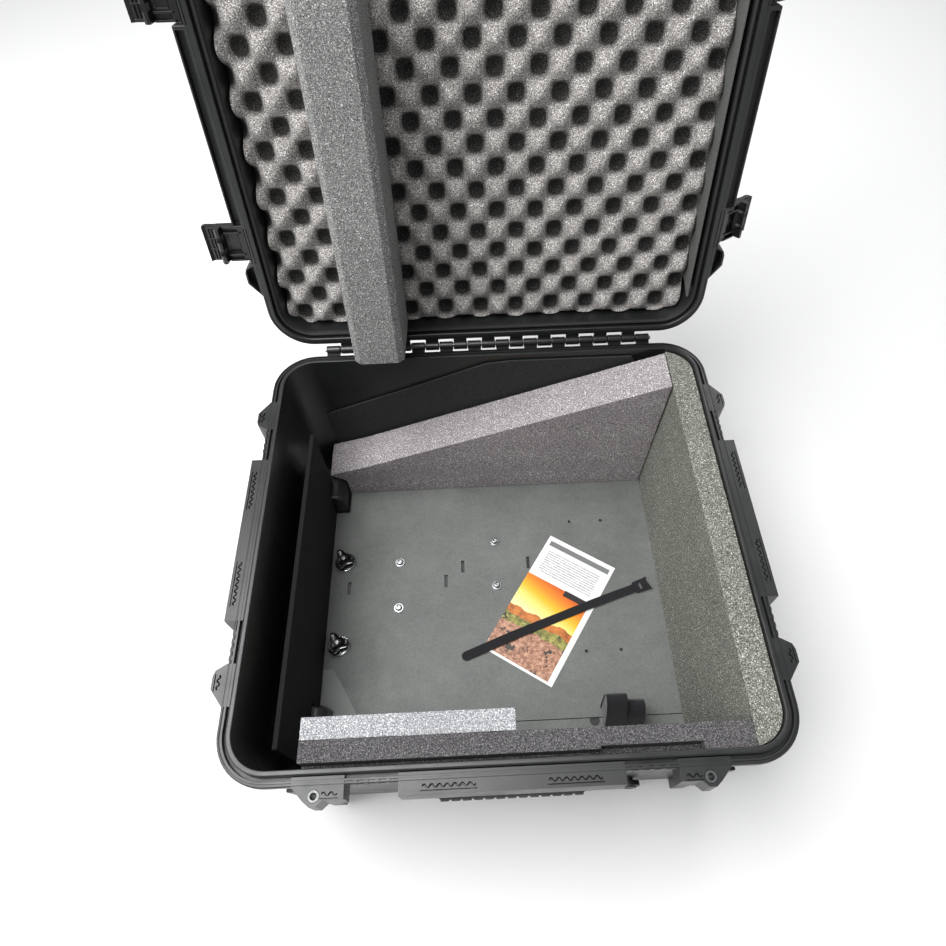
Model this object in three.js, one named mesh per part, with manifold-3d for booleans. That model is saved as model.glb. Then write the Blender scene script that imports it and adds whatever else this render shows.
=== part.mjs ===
// Wheeled hard case for a drone, lid standing open, with its foam inserts, floor plate and loose items.
// Millimetres, +Z up, +X towards the pull-out handle, +Y towards the hinge.
// The origin is the middle of the underside, where the case stands on its runners.
import * as THREE from "three";
import { mergeVertices } from "three/addons/utils/BufferGeometryUtils.js";
import Module from "manifold-3d";

const wasm = await Module();
wasm.setup();

// Driving dimensions. Half sizes are measured from the case's middle at the parting plane.
const PARTING_Z = 258;
const PARTING_GAP = 0.3;
const CAVITY = { x: 286, y: 268, r: 40 };
const WALL = { x: 291, y: 273, r: 45 };
const FLANGE = { x: 301.8, y: 283.8, r: 55 };
const FLANGE_HEIGHT = 8;
const FLOOR_TOP = 22;
const FLOOR_BOTTOM = 16.5;
const DRAFT = 0.0385;
const DRAFT_HEIGHT = PARTING_Z - FLOOR_TOP;
const LID_HEIGHT = 64;
const LID_TOP = 75;
const LID_DEPTH = 51;
const LID_OPEN = THREE.MathUtils.degToRad(102.2);
const HINGE_Y = 294;
const LEDGE_OUT = 12.5;
const LEDGE_HALF = 108.5;
const BUMP_FROM = 157;
const BASE_LEDGE_DROP = 32;
const LID_LEDGE_RISE = 26;
const KNUCKLES = 23;
const HINGE_HALF = 233;
const KNUCKLE_RADIUS = 6;
const PIN_RADIUS = 2.4;
const LATCH_WIDTH = 48;
const LATCH_RISE = 16;
const LATCH_OUT = 6.5;
const LATCH_SIDE = 133;
const LATCH_FRONT = 140;
const FIT = 0.3;
const WHEEL = { x: -287.5, y: 185, z: 30.5, radius: 29, half: 18 };
const HANDLE_ARM = 78;
const PLATE = { bottom: 22.4, top: 25.4 };

// Materials, one per sub-part.
const paint = (color, roughness, metalness = 0) =>
  new THREE.MeshStandardMaterial({ color, roughness, metalness });
const shellBlack = () => paint(0x1b1c1d, 0.55);
const latchBlack = () => paint(0x141414, 0.45);
const foamGrey = () => paint(0x6e6c70, 0.95);
const foamDark = () => paint(0x3a3a3a, 0.95);
const steel = () => paint(0xb9bcc0, 0.25, 1);
const rubber = () => paint(0x202020, 0.8);

// Closed meshes to solids and back; booleans only join and cut.
function toSolid(geometry) {
  const bare = new THREE.BufferGeometry();
  bare.setAttribute("position", geometry.getAttribute("position"));
  bare.setIndex(geometry.index);
  const merged = mergeVertices(bare, 1e-4);
  return new wasm.Manifold(new wasm.Mesh({
    numProp: 3,
    vertProperties: Float32Array.from(merged.getAttribute("position").array),
    triVerts: Uint32Array.from(merged.index.array),
  }));
}

function toGeometry(solid) {
  const mesh = solid.getMesh();
  const geometry = new THREE.BufferGeometry();
  geometry.setAttribute("position", new THREE.BufferAttribute(mesh.vertProperties, 3));
  geometry.setIndex(new THREE.BufferAttribute(mesh.triVerts, 1));
  geometry.computeVertexNormals();
  return geometry;
}

const join = (...solids) => solids.reduce((whole, next) => whole.add(next));
const cut = (body, ...tools) => tools.reduce((rest, tool) => rest.subtract(tool), body);

function part(parent, name, shape, material) {
  const geometry = shape.isBufferGeometry ? shape : toGeometry(shape);
  const mesh = new THREE.Mesh(geometry, material);
  mesh.name = name;
  parent.add(mesh);
  return mesh;
}

// Basic forms, each given by its limits.
function boxGeometry([x0, x1], [y0, y1], [z0, z1]) {
  const geometry = new THREE.BoxGeometry(x1 - x0, y1 - y0, z1 - z0);
  return geometry.translate((x0 + x1) / 2, (y0 + y1) / 2, (z0 + z1) / 2);
}

const box = (x, y, z) => toSolid(boxGeometry(x, y, z));

function roundedOutline(halfX, halfY, radius) {
  const shape = new THREE.Shape();
  shape.moveTo(-halfX, -halfY + radius);
  shape.absarc(-halfX + radius, -halfY + radius, radius, Math.PI, 1.5 * Math.PI);
  shape.absarc(halfX - radius, -halfY + radius, radius, 1.5 * Math.PI, 2 * Math.PI);
  shape.absarc(halfX - radius, halfY - radius, radius, 0, 0.5 * Math.PI);
  shape.absarc(-halfX + radius, halfY - radius, radius, 0.5 * Math.PI, Math.PI);
  return shape;
}

function extrude(shape, z0, z1, curveSegments = 6) {
  const geometry = new THREE.ExtrudeGeometry(shape, { depth: z1 - z0, bevelEnabled: false, curveSegments });
  return geometry.translate(0, 0, z0);
}

const roundedSlab = (halfX, halfY, radius, z0, z1, curveSegments) =>
  extrude(roundedOutline(halfX, halfY, radius), z0, z1, curveSegments);

const polygon = (points) => new THREE.Shape(points.map(([x, y]) => new THREE.Vector2(x, y)));

// A prism whose outline lies in the YZ plane, running along X.
function prismX(points, x0, x1) {
  const geometry = extrude(polygon(points), x0, x1);
  return geometry.applyMatrix4(new THREE.Matrix4().makeBasis(
    new THREE.Vector3(0, 1, 0), new THREE.Vector3(0, 0, 1), new THREE.Vector3(1, 0, 0)));
}

// A prism whose outline lies in the XZ plane, running along Y.
function prismY(points, y0, y1) {
  const geometry = extrude(polygon(points.map(([x, z]) => [z, x])), y0, y1);
  return geometry.applyMatrix4(new THREE.Matrix4().makeBasis(
    new THREE.Vector3(0, 0, 1), new THREE.Vector3(1, 0, 0), new THREE.Vector3(0, 1, 0)));
}

function cylinder(axis, radius, from, to, [u, v], segments = 16) {
  const geometry = new THREE.CylinderGeometry(radius, radius, to - from, segments);
  const middle = (from + to) / 2;
  if (axis === "x") return geometry.rotateZ(Math.PI / 2).translate(middle, u, v);
  if (axis === "y") return geometry.translate(u, middle, v);
  return geometry.rotateX(Math.PI / 2).translate(u, v, middle);
}

// Moulding draft: everything narrows towards the floor in proportion to its depth below the parting plane.
function drafted(geometry) {
  const position = geometry.getAttribute("position");
  for (let i = 0; i < position.count; i += 1) {
    const depth = (PARTING_Z - position.getZ(i)) / DRAFT_HEIGHT;
    const factor = 1 - DRAFT * Math.min(1, Math.max(0, depth));
    position.setX(i, position.getX(i) * factor);
    position.setY(i, position.getY(i) * factor);
  }
  return geometry;
}

const turned = (solidGeometry, angle) => solidGeometry.rotateZ(angle);

// Outlines that the base and the lid share, so that both halves line up when the case is shut.
function bumpOutline(edge) {
  return [
    [edge - 12, BUMP_FROM], [edge + 1, BUMP_FROM], [edge + LEDGE_OUT, BUMP_FROM + 7],
    [edge + LEDGE_OUT + 2, BUMP_FROM + 13], [edge + LEDGE_OUT + 2, BUMP_FROM + 27],
    [edge, BUMP_FROM + 46], [edge - 12, BUMP_FROM + 46],
  ];
}

function tabOutline(edge) {
  return [
    [edge - 12, BUMP_FROM + 10], [edge + LEDGE_OUT, BUMP_FROM + 10], [edge + LEDGE_OUT, BUMP_FROM + 30],
    [edge + LEDGE_OUT + 6, BUMP_FROM + 37], [edge + LEDGE_OUT + 6, BUMP_FROM + 44],
    [edge + LEDGE_OUT + 1, BUMP_FROM + 50], [edge, BUMP_FROM + 63], [edge - 12, BUMP_FROM + 63],
  ];
}

const mirrored = (points) => points.map(([x, y]) => [x, -y]).reverse();

// Ledges, bumps and padlock tabs around the left, right and front edges, between heights z0 and z1.
function edgeFurniture(z0, z1) {
  const solids = [];
  for (const angle of [0, Math.PI]) {
    const edge = FLANGE.x;
    const outlines = [
      [[edge - 12, -LEDGE_HALF], [edge + LEDGE_OUT, -LEDGE_HALF], [edge + LEDGE_OUT, LEDGE_HALF],
        [edge - 12, LEDGE_HALF]],
      bumpOutline(edge), mirrored(bumpOutline(edge)),
    ];
    for (const outline of outlines) {
      solids.push(toSolid(turned(extrude(polygon(outline), z0, z1), angle)));
    }
  }
  const edge = FLANGE.y;
  const frontLedge = LEDGE_HALF + 5;
  const outlines = [
    [[edge - 12, -frontLedge], [edge + LEDGE_OUT, -frontLedge], [edge + LEDGE_OUT, frontLedge],
      [edge - 12, frontLedge]],
    tabOutline(edge), mirrored(tabOutline(edge)),
  ];
  for (const outline of outlines) {
    solids.push(toSolid(turned(extrude(polygon(outline), z0, z1), -Math.PI / 2)));
  }
  return join(...solids);
}

// Hinge knuckles of one half: every second one of the row, with the web that carries it.
function knuckles(first, axisY, axisZ, web) {
  const pitch = (2 * HINGE_HALF) / KNUCKLES;
  const solids = [];
  for (let i = first; i < KNUCKLES; i += 2) {
    const x0 = -HINGE_HALF + i * pitch + FIT;
    const x1 = x0 + pitch - 2 * FIT;
    const barrel = toSolid(cylinder("x", KNUCKLE_RADIUS, x0, x1, [axisY, axisZ], 12));
    solids.push(barrel.add(box([x0, x1], [axisY - 13, axisY], web)));
  }
  return join(...solids);
}

const hingeBore = (axisY, axisZ) =>
  toSolid(cylinder("x", PIN_RADIUS + FIT, -HINGE_HALF - 5, HINGE_HALF + 5, [axisY, axisZ], 10));

// Padlock eyes, in both halves.
const EYE = { x: 196.5, y: -(FLANGE.y + 9.3), radius: 4.6 };
const eyeHole = (side, radius, z0, z1) =>
  toSolid(cylinder("z", radius, z0, z1, [side * EYE.x, EYE.y], 14));

// Base shell.
function cavitySolid(inset, z0, z1) {
  const { x, y, r } = CAVITY;
  return toSolid(drafted(roundedSlab(x - inset, y - inset, r - inset, z0, z1)));
}

const wheelHousing = (side, grow = 0) => {
  const y = [side * WHEEL.y - 28 - grow, side * WHEEL.y + 28 + grow];
  const right = -236 + grow;
  const top = 68 + grow;
  const corner = 16;
  const outline = [[-284, FLOOR_BOTTOM + 1], [right, FLOOR_BOTTOM + 1]];
  for (let i = 0; i <= 4; i += 1) {
    const a = (i / 4) * (Math.PI / 2);
    outline.push([right - corner + corner * Math.cos(a), top - corner + corner * Math.sin(a)]);
  }
  outline.push([-284, top]);
  return toSolid(prismY(outline, y[0], y[1]));
};

function wheelPocket(side) {
  const y0 = side * WHEEL.y - WHEEL.half - 3;
  const y1 = side * WHEEL.y + WHEEL.half + 3;
  const well = toSolid(cylinder("y", WHEEL.radius + 4, y0, y1, [WHEEL.x, WHEEL.z], 24));
  const bore = toSolid(cylinder("y", 4 + FIT, y0 - 4, y1 + 4, [WHEEL.x, WHEEL.z], 10));
  return join(well, box([-330, WHEEL.x], [y0, y1], [-5, WHEEL.z + WHEEL.radius + 4]),
    box([WHEEL.x, WHEEL.x + 22], [y0, y1], [-5, 10]), bore);
}

function wheelCheeks(side) {
  return join(...[-1, 1].map((end) => {
    const y = side * WHEEL.y + end * (WHEEL.half + 6);
    const disc = toSolid(cylinder("y", 20, y - 5, y + 5, [WHEEL.x, WHEEL.z], 20));
    return join(disc, box([WHEEL.x, -262], [y - 5, y + 5], [10.5, 66]));
  }));
}

// Bosses that carry a fold-down handle, drawn for a wall whose outward direction is +X.
function handleBosses(wallX) {
  return join(...[-1, 1].map((side) => {
    const y0 = side * (HANDLE_ARM + 11) - 6;
    const boss = box([wallX - 6, wallX + 21], [y0, y0 + 12], [209, 229]);
    const bore = toSolid(cylinder("y", 3 + FIT, y0 - 1, y0 + 13, [wallX + 13, 218], 10));
    return boss.subtract(bore);
  }));
}

const FRONT_WALL = 272;
const LEFT_WALL = 289.6;
const FRONT_TURN = -Math.PI / 2;
const LEFT_TURN = Math.PI;

const turnSolid = (solid, angle) => toSolid(toGeometry(solid).rotateZ(angle));

function wallRibs() {
  const ribs = [];
  for (const y of [-95, -35, 35, 95]) {
    ribs.push(toSolid(drafted(boxGeometry([WALL.x - 3, FLANGE.x + 4], [y - 9, y + 9], [FLOOR_BOTTOM + 6, 226.5]))));
  }
  for (const y of [-95, -35, 35, 95]) {
    ribs.push(toSolid(drafted(boxGeometry([-FLANGE.x - 4, 3 - WALL.x], [y - 9, y + 9], [FLOOR_BOTTOM + 6, 165]))));
  }
  for (const x of [-225, 225]) {
    ribs.push(toSolid(drafted(boxGeometry([x - 9, x + 9], [-FLANGE.y - 2, -WALL.y + 3], [FLOOR_BOTTOM + 6, 226.5]))));
  }
  for (const x of [-190, -95, 0, 95, 190]) {
    ribs.push(toSolid(drafted(boxGeometry([x - 9, x + 9], [WALL.y - 3, FLANGE.y], [FLOOR_BOTTOM + 6, 250]))));
  }
  return join(...ribs);
}

function runners() {
  return join(...[-205, -118, 0, 118, 205].map((y) =>
    box([-228, 250], [y - 8, y + 8], [0, FLOOR_BOTTOM + 1])));
}

function baseShell() {
  const top = PARTING_Z - PARTING_GAP;
  const hull = join(
    toSolid(drafted(roundedSlab(WALL.x, WALL.y, WALL.r, FLOOR_BOTTOM, top - 4))),
    toSolid(roundedSlab(FLANGE.x, FLANGE.y, FLANGE.r, top - FLANGE_HEIGHT, top)),
    toSolid(roundedSlab(CAVITY.x + 4, CAVITY.y + 4, CAVITY.r + 4, top - 1, top + 4)),
    edgeFurniture(top - BASE_LEDGE_DROP, top),
    knuckles(0, HINGE_Y, PARTING_Z, [PARTING_Z - KNUCKLE_RADIUS, PARTING_Z - 0.6]),
    wallRibs(), runners(),
  );
  const groove = cut(
    toSolid(roundedSlab(FLANGE.x - 3.5, FLANGE.y - 3.5, FLANGE.r - 3.5, top - 3, top + 1)),
    toSolid(roundedSlab(FLANGE.x - 6, FLANGE.y - 6, FLANGE.r - 6, top - 4, top + 2)),
  );
  const hollow = cut(cavitySolid(0, FLOOR_TOP, top + 5), wheelHousing(-1), wheelHousing(1));
  const fittings = join(
    wheelCheeks(-1), wheelCheeks(1),
    turnSolid(handleBosses(FRONT_WALL), FRONT_TURN),
    turnSolid(handleBosses(LEFT_WALL), LEFT_TURN),
  );
  return cut(hull.subtract(hollow).add(cut(fittings, cavitySolid(-2, FLOOR_TOP, top))), groove,
    wheelPocket(-1), wheelPocket(1), hingeBore(HINGE_Y, PARTING_Z),
    eyeHole(-1, EYE.radius + 1.5, 200, 262), eyeHole(1, EYE.radius + 1.5, 200, 262), valveSeat());
}

// Pressure valve, low on the front wall.
const VALVE = { x: 150, z: 60, radius: 13 };
const valveSeat = () =>
  toSolid(cylinder("y", 6, -300, -240, [VALVE.x, VALVE.z], 12));

function pressureValve() {
  const cap = toSolid(cylinder("y", VALVE.radius, -276, -268, [VALVE.x, VALVE.z], 20));
  const stem = toSolid(cylinder("y", 6 - FIT, -269, -260.2, [VALVE.x, VALVE.z], 12));
  return cap.add(stem);
}

// Lid, drawn shut: the parting plane is z = 0 and the hinge axis is the origin, so the front is at -Y.
function lidShell() {
  const low = PARTING_GAP;
  const middle = -HINGE_Y;
  const shifted = (geometry) => toSolid(geometry.translate(0, middle, 0));
  const narrowing = (geometry, slope) => {
    const position = geometry.getAttribute("position");
    for (let i = 0; i < position.count; i += 1) {
      const factor = 1 - (slope * position.getZ(i)) / LID_HEIGHT;
      position.setX(i, position.getX(i) * factor);
      position.setY(i, position.getY(i) * factor);
    }
    return geometry;
  };
  const furniture = toSolid(toGeometry(edgeFurniture(low, low + LID_LEDGE_RISE)).translate(0, middle, 0));
  const ridges = [-150, -50, 50, 150].map((x) =>
    box([x - 20, x + 20], [middle - 225, middle + 225], [LID_HEIGHT - 6, LID_TOP]));
  const hull = join(
    shifted(narrowing(roundedSlab(WALL.x, WALL.y, WALL.r, low + 2, LID_HEIGHT), 0.025)),
    shifted(roundedSlab(FLANGE.x, FLANGE.y, FLANGE.r, low, low + FLANGE_HEIGHT)),
    furniture, ...ridges,
    knuckles(1, 0, 0, [0.6, KNUCKLE_RADIUS]),
  );
  const hollow = shifted(narrowing(roundedSlab(CAVITY.x, CAVITY.y, CAVITY.r, -2, LID_DEPTH), 0.02));
  const sealGroove = cut(
    shifted(roundedSlab(CAVITY.x + 4.8, CAVITY.y + 4.8, CAVITY.r + 4.8, -1, 9)),
    shifted(roundedSlab(CAVITY.x - 3, CAVITY.y - 3, CAVITY.r - 3, -2, 10)),
  );
  const latchBores = LATCHES.map(({ angle, tangent, out }) => toSolid(
    cylinder("y", 1.9 + FIT, -LATCH_WIDTH / 2 - 9.5, LATCH_WIDTH / 2 + 9.5, [0, 0], 10)
      .translate(out, tangent, LATCH_RISE).rotateZ(angle).translate(0, middle, 0)));
  const eyes = [-1, 1].map((side) => toSolid(
    cylinder("z", EYE.radius + 1.5, -2, 40, [side * EYE.x, EYE.y + middle], 14)));
  return cut(hull, hollow, sealGroove, hingeBore(0, 0), ...latchBores, ...eyes);
}

function lidSeal() {
  const ring = (inset, z0, z1) =>
    toSolid(roundedSlab(CAVITY.x + inset, CAVITY.y + inset, CAVITY.r + inset, z0, z1).translate(0, -HINGE_Y, 0));
  return cut(ring(4.4, 4.6, 8.7), ring(0.4, 3, 10));
}

// Six latches: where each stands on the lid's edge, which way it faces, and how far it hangs open.
const DEGREE = Math.PI / 180;
const sideOut = FLANGE.x + LATCH_OUT;
const frontOut = FLANGE.y + LATCH_OUT;
const LATCHES = [
  { name: "left_front", angle: Math.PI, tangent: LATCH_SIDE, out: sideOut, open: 90 * DEGREE },
  { name: "left_back", angle: Math.PI, tangent: -LATCH_SIDE, out: sideOut, open: 90 * DEGREE },
  { name: "right_front", angle: 0, tangent: -LATCH_SIDE, out: sideOut, open: 125 * DEGREE },
  { name: "right_back", angle: 0, tangent: LATCH_SIDE, out: sideOut, open: 125 * DEGREE },
  { name: "front_left", angle: FRONT_TURN, tangent: -LATCH_FRONT, out: frontOut, open: 100 * DEGREE },
  { name: "front_right", angle: FRONT_TURN, tangent: LATCH_FRONT, out: frontOut, open: 100 * DEGREE },
];

const BUTTON = { half: 12, z0: -23, z1: -9 };

// Latch lever, drawn shut: pivot at the origin, outward along +X, hook pointing back under the base flange.
function latchLever() {
  const half = LATCH_WIDTH / 2;
  const profile = [
    [-3.2, -50], [2.5, -50], [6, -46], [6, 1], [4, 4.5], [-1, 5], [-4, 2], [-4, -26],
    [-13, -26.5], [-13.5, -30], [-11, -33], [-4, -34],
  ];
  const plate = toSolid(prismY(profile, -half, half));
  const ribs = box([-5.6, -3], [-half + 3, -half + 6], [-24, -4])
    .add(box([-5.6, -3], [half - 6, half - 3], [-24, -4]));
  const pocket = box([-1.6, 8], [-BUTTON.half - FIT, BUTTON.half + FIT], [BUTTON.z0 - FIT, BUTTON.z1 + FIT]);
  const bore = toSolid(cylinder("y", 1.9 + FIT, -half - 1, half + 1, [0, 0], 10));
  return cut(plate.add(ribs), pocket, bore);
}

const latchButton = () => boxGeometry([1.6, 7], [-BUTTON.half, BUTTON.half], [BUTTON.z0, BUTTON.z1]);

const latchPin = () => cylinder("y", 1.9, -LATCH_WIDTH / 2 - 9, LATCH_WIDTH / 2 + 9, [0, 0], 10);

function addLatches(lid) {
  for (const { name, angle, tangent, out, open } of LATCHES) {
    const turn = new THREE.Group();
    turn.position.set(0, -HINGE_Y, 0);
    turn.rotation.z = angle;
    const pivot = new THREE.Group();
    pivot.position.set(out, tangent, LATCH_RISE);
    lid.add(turn);
    turn.add(pivot);
    part(pivot, `latch_pin_${name}`, latchPin(), steel());
    const swing = new THREE.Group();
    swing.rotation.y = -open;
    pivot.add(swing);
    part(swing, `latch_${name}`, latchLever(), latchBlack());
    part(swing, `latch_button_${name}`, latchButton(), latchBlack());
  }
}

// Lid foam, the board lining the right wall and the foam beam that presses on the load, drawn with the lid shut.
const LID_FOAM = { x: 278, y: 262, r: 34, face: 14, back: LID_DEPTH - 1.2 };

function lidSideBoard() {
  const [near, far] = [-HINGE_Y + 232, -HINGE_Y - 232];
  return prismX([[far, 5], [far, 49.5], [near - 14, 49.5], [near - 14, 26], [near, 5]], 277.4, 280.4);
}

function foamBeam() {
  const [left, right, tip, corner] = [-179, -113, -85, 8];
  const seat = LID_FOAM.face - 0.5;
  const outline = [
    [left + corner, tip], [right - corner, tip], [right, tip + corner], [right, seat],
    [left, seat], [left, tip + corner],
  ];
  return prismY(outline, -472, -34);
}

function addLidInserts(lid) {
  const { x, y, r, face, back } = LID_FOAM;
  const foam = roundedSlab(x, y, r, face, back).translate(-1.5, -HINGE_Y, 0);
  part(lid, "lid_foam", foam, paint(0x8b8a88, 0.95));
  part(lid, "lid_side_board", lidSideBoard(), foamDark());
  part(lid, "foam_beam", foamBeam(), paint(0x807f80, 0.95));
}

// Foam, boards and sheets standing in the base. Inserts against the walls follow the walls' draft.
const FOAM_GAP = 0.6;
const inCavity = (geometry) => toSolid(drafted(geometry)).intersect(cavitySolid(FOAM_GAP, 23, 262));

function backBlock() {
  const [left, right] = [-254, 251];
  const slope = prismX([[200, 20], [261, 20], [261, 300], [200, 300]], left, right);
  const top = prismY([[left - 20, 70], [right + 5, 264], [right + 5, 400], [left - 20, 400]], 150, 300);
  const block = toSolid(drafted(slope)).intersect(cavitySolid(FOAM_GAP, PLATE.top + FIT, 263));
  return cut(block, toSolid(top), wheelHousing(1, 1.5));
}

function backSheet() {
  const outline = [[-258, 30], [205, 30], [222, 60], [222, 225], [205, 252], [30, 252], [-6, 248], [-137, 197],
    [-258, 152]];
  const sheet = toSolid(drafted(prismY(outline, 264.4, 267)));
  return cut(sheet.intersect(cavitySolid(FOAM_GAP, 24, 262)), wheelHousing(1, 1.5));
}

function dividerBoard() {
  const board = box([-261, -255], [-237, 187], [PLATE.top + FIT, 200]);
  return cut(board, wheelHousing(-1, 2), wheelHousing(1, 2));
}

function frontSlab() {
  const slab = inCavity(boxGeometry([-217, 251.4], [-275, -240.5], [PLATE.top + FIT, 256]));
  return cut(slab, box([92, 197], [-280, -259], [238, 262]), box([-217.5, 92.1], [-280, -262], [238, 262]),
    wheelHousing(-1, 1.5));
}

const frontBlock = () => cut(
  toSolid(drafted(boxGeometry([-217, 7], [-240, -217], [PLATE.top + FIT, 256]))), wheelHousing(-1, 1.5));

const rightSlab = () => inCavity(boxGeometry([252, 300], [-290, 290], [PLATE.top + FIT, 257]));

function floorPlates() {
  const plateZ = [PLATE.bottom, PLATE.top];
  const area = cavitySolid(3, PLATE.bottom, PLATE.top);
  const seam = -182;
  const openings = [
    ...[-1, 1].map((side) => box([-300, -233], [side * WHEEL.y - 30, side * WHEEL.y + 30], [20, 30])),
    ...[[-226, 23], [-53, 51], [-79, 28], [48, 53]].map(([x, y]) =>
      box([x - 2.5, x + 2.5], [y - 10, y + 10], [20, 30])),
    ...[[119, 121], [169, 121], [122, -90], [172, -90]].map(([x, y]) =>
      toSolid(cylinder("z", 2.6, 20, 30, [x, y], 10))),
  ];
  const back = cut(area.intersect(box([-300, 300], [seam + 0.5, 300], plateZ)), ...openings);
  const front = cut(area.intersect(box([-300, 300], [-300, seam - 0.5], plateZ)), ...openings,
    toSolid(cylinder("z", 7, 20, 30, [122, seam - 4], 12)));
  return { back, front };
}

// Fasteners and knobs on the floor plate.
const BOLTS = [[-150, 62], [-150, -12], [-2, 91], [-2, 17]];
const KNOBS = [{ name: "back", y: 66 }, { name: "front", y: -66 }];
const KNOB_X = -235;

function boltGeometry() {
  const z = PLATE.top + FIT;
  const points = [[0, z], [7.5, z], [7.5, z + 1.5], [5, z + 1.5], [5, z + 6], [2.5, z + 6], [2.5, z + 3], [0, z + 3]];
  return new THREE.LatheGeometry(points.map(([r, h]) => new THREE.Vector2(r, h)), 14).rotateX(Math.PI / 2);
}

function knobGeometry() {
  const shape = new THREE.Shape();
  const steps = 30;
  for (let i = 0; i < steps; i += 1) {
    const a = (i / steps) * 2 * Math.PI;
    const r = 13 + 4 * Math.cos(3 * a);
    if (i === 0) shape.moveTo(r, 0);
    else shape.lineTo(r * Math.cos(a), r * Math.sin(a));
  }
  return extrude(shape, PLATE.top + 4.6, PLATE.top + 20);
}

// Loose items: a leaflet, a flat tie with a slotted head, and a hook-and-loop band standing in the plate.
function leaflet() {
  return boxGeometry([-56, 56], [-104.5, 104.5], [PLATE.top + 0.4, PLATE.top + 1.2]);
}

function tieStrap() {
  const length = 302;
  const band = box([0, length - 18], [-6, 6], [0, 1.5]);
  const head = box([length - 20, length], [-9, 9], [0, 2.4]).subtract(box([length - 13, length - 8], [-6, 6], [-1, 4]));
  return band.add(head);
}

function strapLoop() {
  const arc = (rx, rz) => {
    const points = [];
    for (let i = 0; i <= 14; i += 1) {
      const a = (i / 14) * Math.PI;
      points.push([-187 + rx * Math.cos(a), PLATE.top + FIT + rz * Math.sin(a)]);
    }
    return points;
  };
  return cut(toSolid(prismX(arc(17, 38), 133, 184)),
    toSolid(prismX(arc(14.5, 35.5).map(([y, z]) => [y, z + 1.5]), 130, 190)),
    box([130, 190], [-201.4, -172.6], [20, PLATE.top + 1.8]));
}

// Moving outer pieces: wheels, trolley handle and fold-down handles.
function wheel(side) {
  const { radius, half } = WHEEL;
  const profile = [[4.4, -half], [12, -half], [14, -half + 4], [21, -half + 4], [23, -half], [radius - 3, -half],
    [radius, -half + 4], [radius, half - 4], [radius - 3, half], [23, half], [21, half - 4], [14, half - 4],
    [12, half], [4.4, half], [4.4, -half]];
  return new THREE.LatheGeometry(profile.map(([r, h]) => new THREE.Vector2(r, h)), 24)
    .translate(WHEEL.x, side * WHEEL.y, WHEEL.z);
}

const wheelAxle = (side) => {
  const reach = WHEEL.half + 6.6;
  return cylinder("y", 4, side * WHEEL.y - reach, side * WHEEL.y + reach, [WHEEL.x, WHEEL.z], 12);
};

const TROLLEY = { y: 70, z: 8.6, radius: 5.5, from: -140, to: 296, guide: [215, 275] };

function trolleyHandle() {
  const { y, z, radius, from, to } = TROLLEY;
  const tubes = [-1, 1].map((side) => toSolid(cylinder("x", radius, from, to, [side * y, z], 14)));
  const bar = toSolid(roundedSlab(9.5, 86, 8, 1.4, 19, 4).translate(301, 0, 0));
  return cut(join(...tubes, bar), box([303.4, 320], [-16 - FIT, 16 + FIT], [5 - FIT, 15.4 + FIT]));
}

const trolleyButton = () => boxGeometry([306.3, 311.8], [-16, 16], [5, 15.4]);

function trolleyGuide(side) {
  const { y, z, radius, guide } = TROLLEY;
  const block = box(guide, [side * y - 13, side * y + 13], [1, FLOOR_BOTTOM - FIT]);
  return block.subtract(toSolid(cylinder("x", radius + FIT, guide[0] - 1, guide[1] + 1, [side * y, z], 14)));
}

// Fold-down handle, drawn for an outward direction of +X, with its pivot at the origin and the grip hanging down.
// It turns on two steel pins, or on stubs of its own that snap into the bosses.
const pinGeometry = (side, radius) => {
  const middle = side * (HANDLE_ARM + 6);
  return cylinder("y", radius, middle - 10.5, middle + 10.5, [0, 0], 12);
};

function foldHandle(withStubs) {
  const arms = [-1, 1].map((side) => {
    const y0 = side * HANDLE_ARM - 4;
    return toSolid(prismY([[-4, 5], [4, 5], [6, 0], [7, -30], [-4, -30], [-5, 0]], y0, y0 + 8));
  });
  const grip = toSolid(cylinder("y", 10.4, -HANDLE_ARM - 4, HANDLE_ARM + 4, [0.5, -27], 16));
  const body = join(...arms, grip);
  if (withStubs) {
    return join(body, toSolid(pinGeometry(-1, 3)), toSolid(pinGeometry(1, 3)));
  }
  return body.subtract(toSolid(cylinder("y", 3 + FIT, -HANDLE_ARM - 10, HANDLE_ARM + 10, [0, 0], 10)));
}

function addFoldHandle(parent, name, wallX, angle, withStubs) {
  const turn = new THREE.Group();
  turn.rotation.z = angle;
  const pivot = new THREE.Group();
  pivot.position.set(wallX + 13, 0, 218);
  parent.add(turn);
  turn.add(pivot);
  part(pivot, `${name}_handle`, foldHandle(withStubs), rubber());
  if (!withStubs) {
    part(pivot, `${name}_handle_pin_a`, pinGeometry(-1, 3), steel());
    part(pivot, `${name}_handle_pin_b`, pinGeometry(1, 3), steel());
  }
}

const eyelet = (side) => {
  const { x, y, radius } = EYE;
  const top = PARTING_Z - PARTING_GAP;
  const profile = [[radius - 1, top - 30], [radius + 1.2, top - 30], [radius + 1.2, top + 0.15],
    [radius - 1, top + 0.15], [radius - 1, top - 30]];
  return new THREE.LatheGeometry(profile.map(([r, h]) => new THREE.Vector2(r, h)), 14)
    .rotateX(Math.PI / 2).translate(side * x, y, 0);
};

// Assembly.
const carryingCase = new THREE.Group();
carryingCase.name = "drone_carrying_case";

part(carryingCase, "base_shell", baseShell(), shellBlack());
part(carryingCase, "hinge_pin",
  cylinder("x", PIN_RADIUS, -HINGE_HALF - 2, HINGE_HALF + 2, [HINGE_Y, PARTING_Z], 10), steel());
part(carryingCase, "pressure_valve", pressureValve(), latchBlack());

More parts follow.
